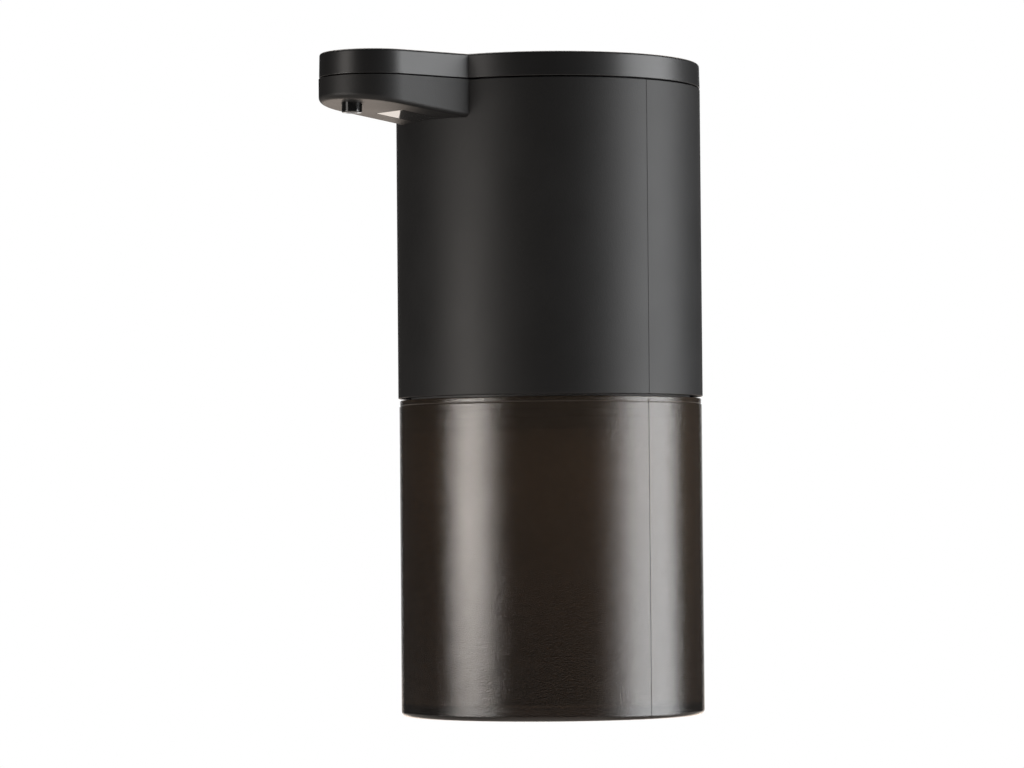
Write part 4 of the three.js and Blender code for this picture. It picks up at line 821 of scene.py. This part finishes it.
# The bracket's pocket and the charging port are let into thicker parts of the back wall.
RUN = 0.15
HOLE_GAP = 0.1
POCKET_GAP = 0.6
LIFT_ROOM = 8.0
PORT_BOTTOM = 2.0
PORT_EDGE = 1.0
BOSS_R = 3.0
BOSS_HEIGHT = 10.0
BOSS_WEB = 2.0
BOSS_CAP = 1.5
POCKET_HALF = plate_high.x + POCKET_GAP
POCKET_FACE = plate_face - FIT
POCKET_INNER = POCKET_FACE - WALL
POCKET_LOW = plate_low.z - LIFT_ROOM
POCKET_HIGH = plate_high.z + POCKET_GAP
cover_low, cover_high = extent("port_cover")
PORT_HALF = cover_high.x + FIT
PORT_FLOOR = cover_low.y - RUN
PORT_LOW = cover_low.z - RUN
PORT_HIGH = cover_high.z + FIT


def lining(half, front, low, high):
    """A block that thickens the back wall on its inside, as far out as the wall's middle."""
    back = math.sqrt((BARREL_R - WALL / 2) ** 2 - half ** 2)
    return slab(-half, front, low, half, back, high)


shell = cut(outer, inside, channel)
shell = joined(
    shell,
    lining(POCKET_HALF + WALL, POCKET_INNER, POCKET_LOW - WALL, POCKET_HIGH + WALL),
    lining(
        PORT_HALF + PORT_BOTTOM, PORT_FLOOR - PORT_BOTTOM,
        PORT_LOW - PORT_EDGE, PORT_HIGH + PORT_EDGE,
    ),
)
bosses = []
for spot in deck_screws:
    boss_top = DECK_TOP + BOSS_HEIGHT
    boss = peg(spot.x, spot.y, DECK_TOP, boss_top, BOSS_R)
    reach = inner_r + WALL / 2 - math.hypot(spot.x, spot.y)
    web = slab(0, -BOSS_WEB / 2, DECK_TOP, reach, BOSS_WEB / 2, boss_top)
    turn = Matrix.Rotation(math.atan2(spot.y, spot.x), 4, "Z")
    web.transform(Matrix.Translation(at(spot.x, spot.y, 0)) @ turn @ Matrix.Translation(-at(0, 0, 0)))
    bosses += [boss, web]
shell = joined(shell, *bosses)
NOZZLE_R = 2.42
NOZZLE_FLANGE_R = 3.8
nozzle_low, nozzle_high = extent("nozzle")
NOZZLE_Y = nozzle_low.y + NOZZLE_FLANGE_R
WINDOW_HALF = extent("sensor_window")[1].x
WINDOW_THICK = 1.5
WINDOW_LENGTH = 10.9
WINDOW_FROM_BODY = 0.7
WINDOW_Y = -(BARREL_R + WINDOW_FROM_BODY + WINDOW_LENGTH / 2)


def window_slab(grow, below, above, edge=0.0):
    """The sensor window's plate, lying in the sloping underside."""
    half = WINDOW_LENGTH / 2 + grow
    level = underside(WINDOW_Y)
    plate = slab(
        -WINDOW_HALF - grow, WINDOW_Y - half, level + below,
        WINDOW_HALF + grow, WINDOW_Y + half, level + above, edge,
    )
    pivot = Matrix.Translation(at(0, WINDOW_Y, level))
    plate.transform(pivot @ Matrix.Rotation(-math.atan(SPOUT_RISE), 4, "X") @ pivot.inverted())
    return plate


socket_low, socket_high = extent("charging_socket")
back = BARREL_R + PAST
WINDOW_OPEN = 6.0
SOCKET_ROUND = 1.2
openings = [
    slab(-POCKET_HALF, POCKET_FACE, POCKET_LOW, POCKET_HALF, back, POCKET_HIGH),
    slab(-PORT_HALF, PORT_FLOOR, PORT_LOW, PORT_HALF, back, PORT_HIGH),
    slab(
        socket_low.x - FIT, PORT_FLOOR - 2 * PORT_BOTTOM, socket_low.z - FIT,
        socket_high.x + FIT, PORT_FLOOR + PAST, socket_high.z + FIT, SOCKET_ROUND, 4,
    ),
    peg(0, NOZZLE_Y, nozzle_low.z, nozzle_high.z, NOZZLE_R + HOLE_GAP, 64),
    window_slab(HOLE_GAP, -PAST, WINDOW_OPEN),
]
half = HOOK_WIDTH / 2 + FIT
for top in hook_tops:
    foot = top - HOOK_POST - HOOK_TONGUE - POCKET_GAP
    openings.append(slab(-half, POCKET_INNER - PAST, foot, half, POCKET_FACE + PAST, top + RUN))
for spot in deck_screws:
    openings.append(peg(spot.x, spot.y, DECK_TOP - PAST, boss_top - BOSS_CAP, CLEARANCE_HOLE_R))
made("housing_shell", cut(shell, *openings), matte_black, "dispenser", "housing")


# Nozzle and sensor window: a polished tube through the spout's floor, and a gloss infrared window
# glued flush into the underside behind it. A small board with two infrared lamps sits on the window.
def polished(shade, place, connect):
    smears = noise(shade, place, 0.25, 4.0).between(0.45, 0.75)
    connect("Base Color", smears.blend((0.004, 0.004, 0.004), (0.007, 0.007, 0.007)))
    connect("Roughness", 0.06 + 0.08 * smears)
    connect("Coat Weight", 0.3)


gloss_black = finish("gloss_black", polished)
window = window_slab(0, 0, WINDOW_THICK, 0.12)
made("window_glass", window, gloss_black, "dispenser", "sensor_window")
carried(gloss_black, "ir_emitter", "ir_receiver")
NOZZLE_BORE_R = 1.4
NOZZLE_BORE = 3.0
SPIGOT_BORE_R = 0.6
FLANGE_THICK = 1.2
FLANGE_LIFT = 0.6
seat = underside(NOZZLE_Y) + WALL + FLANGE_LIFT
seat_top = seat + FLANGE_THICK
bore_top = nozzle_low.z + NOZZLE_BORE
tip = turned(
    [
        (NOZZLE_BORE_R, nozzle_low.z, 0.12), (NOZZLE_R, nozzle_low.z, 0.35), (NOZZLE_R, seat, 0),
        (NOZZLE_FLANGE_R, seat, 0.2), (NOZZLE_FLANGE_R, seat_top, 0.2), (NOZZLE_R, seat_top, 0),
        (NOZZLE_R, nozzle_high.z, 0.4), (SPIGOT_BORE_R, nozzle_high.z, 0),
        (SPIGOT_BORE_R, bore_top, 0), (NOZZLE_BORE_R, bore_top, 0),
    ],
    64, 0, NOZZLE_Y, looped=True,
)
made("nozzle_tube", tip, gloss_black, "dispenser", "nozzle")


# Lid: one satin moulding that closes the barrel and the top of the spout. It seats on a skirt, with
# a fine open line all round, and its top edge is rounded over.
SEAM = 0.3
LID_THICK = 1.8
LID_EDGE = 0.7
LID_DRAFT = 0.12
SKIRT_DEPTH = 2.4
SKIRT_WALL = 1.2
RIM_WIDTH = 3.0
CROWN_WIDTH = 4.0
BUTTON_CHAMFER = 0.2
POST_SUNK = 0.5
LID_STEPS = 150
BUTTON_R = 7.0
LIGHT_R = 1.1
LIGHT_Y = -14.0
POST_R = 1.6
POST_X = 10.5
low, high = extent("lid")
LID_TOP = high.z
LID_LOW = HOUSING_TOP + SEAM
LID_CEILING = LID_TOP - LID_THICK
SKIRT_LOW = LID_LOW - SKIRT_DEPTH
satin_black = moulded("satin_black", (0.008, 0.008, 0.0083), 0.36, grain=3.2, depth=0.008)


def keyhole(inset, z):
    """The lid's plan at a height: the barrel's circle run out into the spout."""
    r = BARREL_R - inset
    sides = spout_outline(inset + LID_DRAFT)
    (x0, y0), (x1, y1) = sides[:2]
    lean = (x0 - x1) / (y0 - y1)
    foot_x = x0 - lean * y0
    a, b, c = 1 + lean ** 2, 2 * lean * foot_x, foot_x ** 2 - r ** 2
    meet_y = (-b - math.sqrt(b ** 2 - 4 * a * c)) / (2 * a)
    start = math.atan2(meet_y, foot_x + lean * meet_y)
    sweep = math.pi - 2 * start
    turns = [start + sweep * k / LID_STEPS for k in range(LID_STEPS + 1)]
    points = [(r * math.cos(a), r * math.sin(a)) for a in turns]
    points += reversed(sides[1:-1])
    return [at(x, y, z) for x, y in points]


levels = softened(
    [
        (RIM_WIDTH, LID_LOW, 0), (0, LID_LOW, 0.2), (LID_DRAFT, LID_TOP, LID_EDGE),
        (CROWN_WIDTH, LID_TOP, 0),
    ],
    closed=False,
)
cap = skin([keyhole(inset, z) for inset, z in levels])
skirt = skin([keyhole(WALL + FIT, z) for z in (SKIRT_LOW, LID_LOW + PAST)])
post_low = extent("button_board")[1].z + FIT
posts = [peg(x, 0, post_low, LID_CEILING + POST_SUNK, POST_R) for x in (-POST_X, POST_X)]
hollow = skin([keyhole(WALL + FIT + SKIRT_WALL, z) for z in (SKIRT_LOW - PAST, LID_CEILING)])
hole_r = BUTTON_R + RUN
mouth_r = hole_r + BUTTON_CHAMFER
button_hole = turned(
    [
        (0, LID_CEILING - PAST, 0), (hole_r, LID_CEILING - PAST, 0),
        (hole_r, LID_TOP - BUTTON_CHAMFER, 0), (mouth_r, LID_TOP, 0),
        (mouth_r, LID_TOP + PAST, 0), (0, LID_TOP + PAST, 0),
    ],
    128,
)
light_hole = peg(0, LIGHT_Y, LID_CEILING - PAST, LID_TOP + PAST, LIGHT_R + HOLE_GAP)
flange_room = peg(0, NOZZLE_Y, SKIRT_LOW - PAST, LID_LOW, NOZZLE_FLANGE_R + FIT)
cap = joined(cut(joined(cap, skirt), hollow), *posts)
made("lid_shell", cut(cap, button_hole, light_hole, flange_room), satin_black, "dispenser", "lid")


# Power button: a satin disc over a tact switch, sprung up through the lid and slightly dished for a
# fingertip. The status light in front of it is a short clear pipe over a lamp on the same board.
STEM_R = 2.5
STEM_LENGTH = 1.9
BUTTON_FLANGE = 1.2
BUTTON_DISH = 0.22
FLANGE_R = BUTTON_R + 1
DISH_R = 5.2
DISH_BLEND = 6.0
low, high = extent("power_button")
flange = low.z + STEM_LENGTH
flange_top = flange + BUTTON_FLANGE
button = turned(
    [
        (0, low.z, 0), (STEM_R, low.z, 0.2), (STEM_R, flange, 0.2), (FLANGE_R, flange, 0.2),
        (FLANGE_R, flange_top, 0.2), (BUTTON_R, flange_top, 0.1), (BUTTON_R, high.z, 0.35),
        (DISH_R, high.z, DISH_BLEND), (DISH_R / 2, high.z - BUTTON_DISH, DISH_BLEND),
        (0, high.z - BUTTON_DISH, 0),
    ],
    128,
)
made("button_cap", button, satin_black, "button", "power_button")


def milky(shade, place, connect):
    flow = noise(shade, place, 0.8, 3.0)
    connect("Base Color", flow.between(0.3, 0.7).blend((0.74, 0.75, 0.74), (0.82, 0.83, 0.82)))
    connect("Roughness", 0.22 + 0.1 * flow)
    connect("Transmission Weight", 0.3)


light_white = finish("light_white", milky)
COLLAR_R = LIGHT_R + 0.6
COLLAR = 0.9
COLLAR_GAP = 0.1
low, high = extent("light_pipe")
collar = LID_CEILING - COLLAR_GAP
pipe = turned(
    [
        (0, low.z, 0), (LIGHT_R, low.z, 0.1), (LIGHT_R, collar - COLLAR, 0),
        (COLLAR_R, collar - COLLAR, 0.1), (COLLAR_R, collar, 0.1),
        (LIGHT_R, collar, 0), (LIGHT_R, high.z, 0.18), (0, high.z, 0),
    ],
    48, 0, LIGHT_Y,
)
made("light_lens", pipe, light_white, "dispenser", "light_pipe")
carried(light_white, "status_led", "battery_plug")


# Port cover: a soft rubber leaf over the charging socket. It hangs from a barrel along its top edge,
# and a small lip at its foot gives a fingernail a grip.
LEAF_THICK = 1.0
GRIP_HALF = 2.0
GRIP_LOW = 0.4
GRIP_HIGH = 1.0
GRIP_ROOT = 0.3
low, high = cover_low, cover_high
leaf_back = low.y + LEAF_THICK
leaf = slab(low.x, low.y, low.z, high.x, leaf_back, high.z, 0.3, 4)
lip = slab(
    -GRIP_HALF, leaf_back - GRIP_ROOT, low.z + GRIP_LOW, GRIP_HALF, high.y, low.z + GRIP_HIGH, 0.2,
)
made("cover_leaf", joined(leaf, lip), seal_rubber, "port_cover", "port_cover")


# Tank: a smoke-brown, frosted, translucent cup that pulls down off the deck's plug. Its mouth has a
# plain band that steps in a little, and its floor stands on a narrow ring. Its tint is painted darker
# towards the floor, as painted shade.
RIM_BAND = 1.2
RIM_INSET = 0.15
RIM_LEDGE = 0.3
LINE_DEPTH = 0.12
LINE_LOW = 0.2
LINE_HIGH = 0.05
FOOT_RECESS = 0.8
FOOT_WIDTH = 3.2
FOOT_SLOPE = 0.6
TANK_WALL = 1.8
TANK_FLOOR = 2.8
CENTRE_R = 8.0
TANK_NOTCH = 0.09
NOTCH_STOP = 0.4


def smoked(shade, place, connect):
    frost = noise(shade, place, 3.3, 1.0)
    clouds = noise(shade, place, 0.03, 2.0)
    height = shade.node("SeparateXYZ", {0: place}, output=2) - FOOT_Z / MM
    # The tint is painted shade: darker towards the bottom and darkest in the floor, lighter towards the
    # top, with the plastic's own random clouding on top.
    clouds_and_painted_shade = 0.35 + 0.4 * height.between(5.0, 65.0) + 0.25 * clouds
    clouds_and_painted_shade = clouds_and_painted_shade * height.between(TANK_FLOOR, TANK_FLOOR + 1.5)
    connect("Base Color", clouds_and_painted_shade.blend((0.02, 0.014, 0.01), (0.13, 0.093, 0.062)))
    connect("Roughness", 0.13 + 0.1 * frost)
    connect("Transmission Weight", 0.88)
    connect("IOR", 1.58)
    connect("Normal", bumped(shade, frost, 0.062))


low, high = extent("tank")
TANK_R = high.x
TANK_INNER = TANK_R - TANK_WALL
rim = TANK_R - RIM_INSET
band = high.z - RIM_BAND
cup_profile = softened(
    [
        (CENTRE_R, FOOT_RECESS, 0), (TANK_R - FOOT_WIDTH - FOOT_SLOPE, FOOT_RECESS, 0.3),
        (TANK_R - FOOT_WIDTH, 0, 0.3), (TANK_R, 0, 1.2), (TANK_R, band - RIM_LEDGE, 0.1),
        (rim - LINE_DEPTH, band - LINE_LOW, 0.05), (rim, band + LINE_HIGH, 0.05),
        (rim, high.z, 0.3), (TANK_INNER, high.z, 0.3), (TANK_INNER, TANK_FLOOR, 2.2),
        (CENTRE_R, TANK_FLOOR, 0),
    ],
    closed=False,
)
# The parting line runs up the outside only, and stops just below the rim.
cup = skin([
    barrel_ring(r, z, TANK_NOTCH if r > TANK_INNER + 1.5 and z < high.z - NOTCH_STOP else 0)
    for r, z in cup_profile
])
made("tank_cup", cup, finish("smoked_plastic", smoked), "tank", "tank")
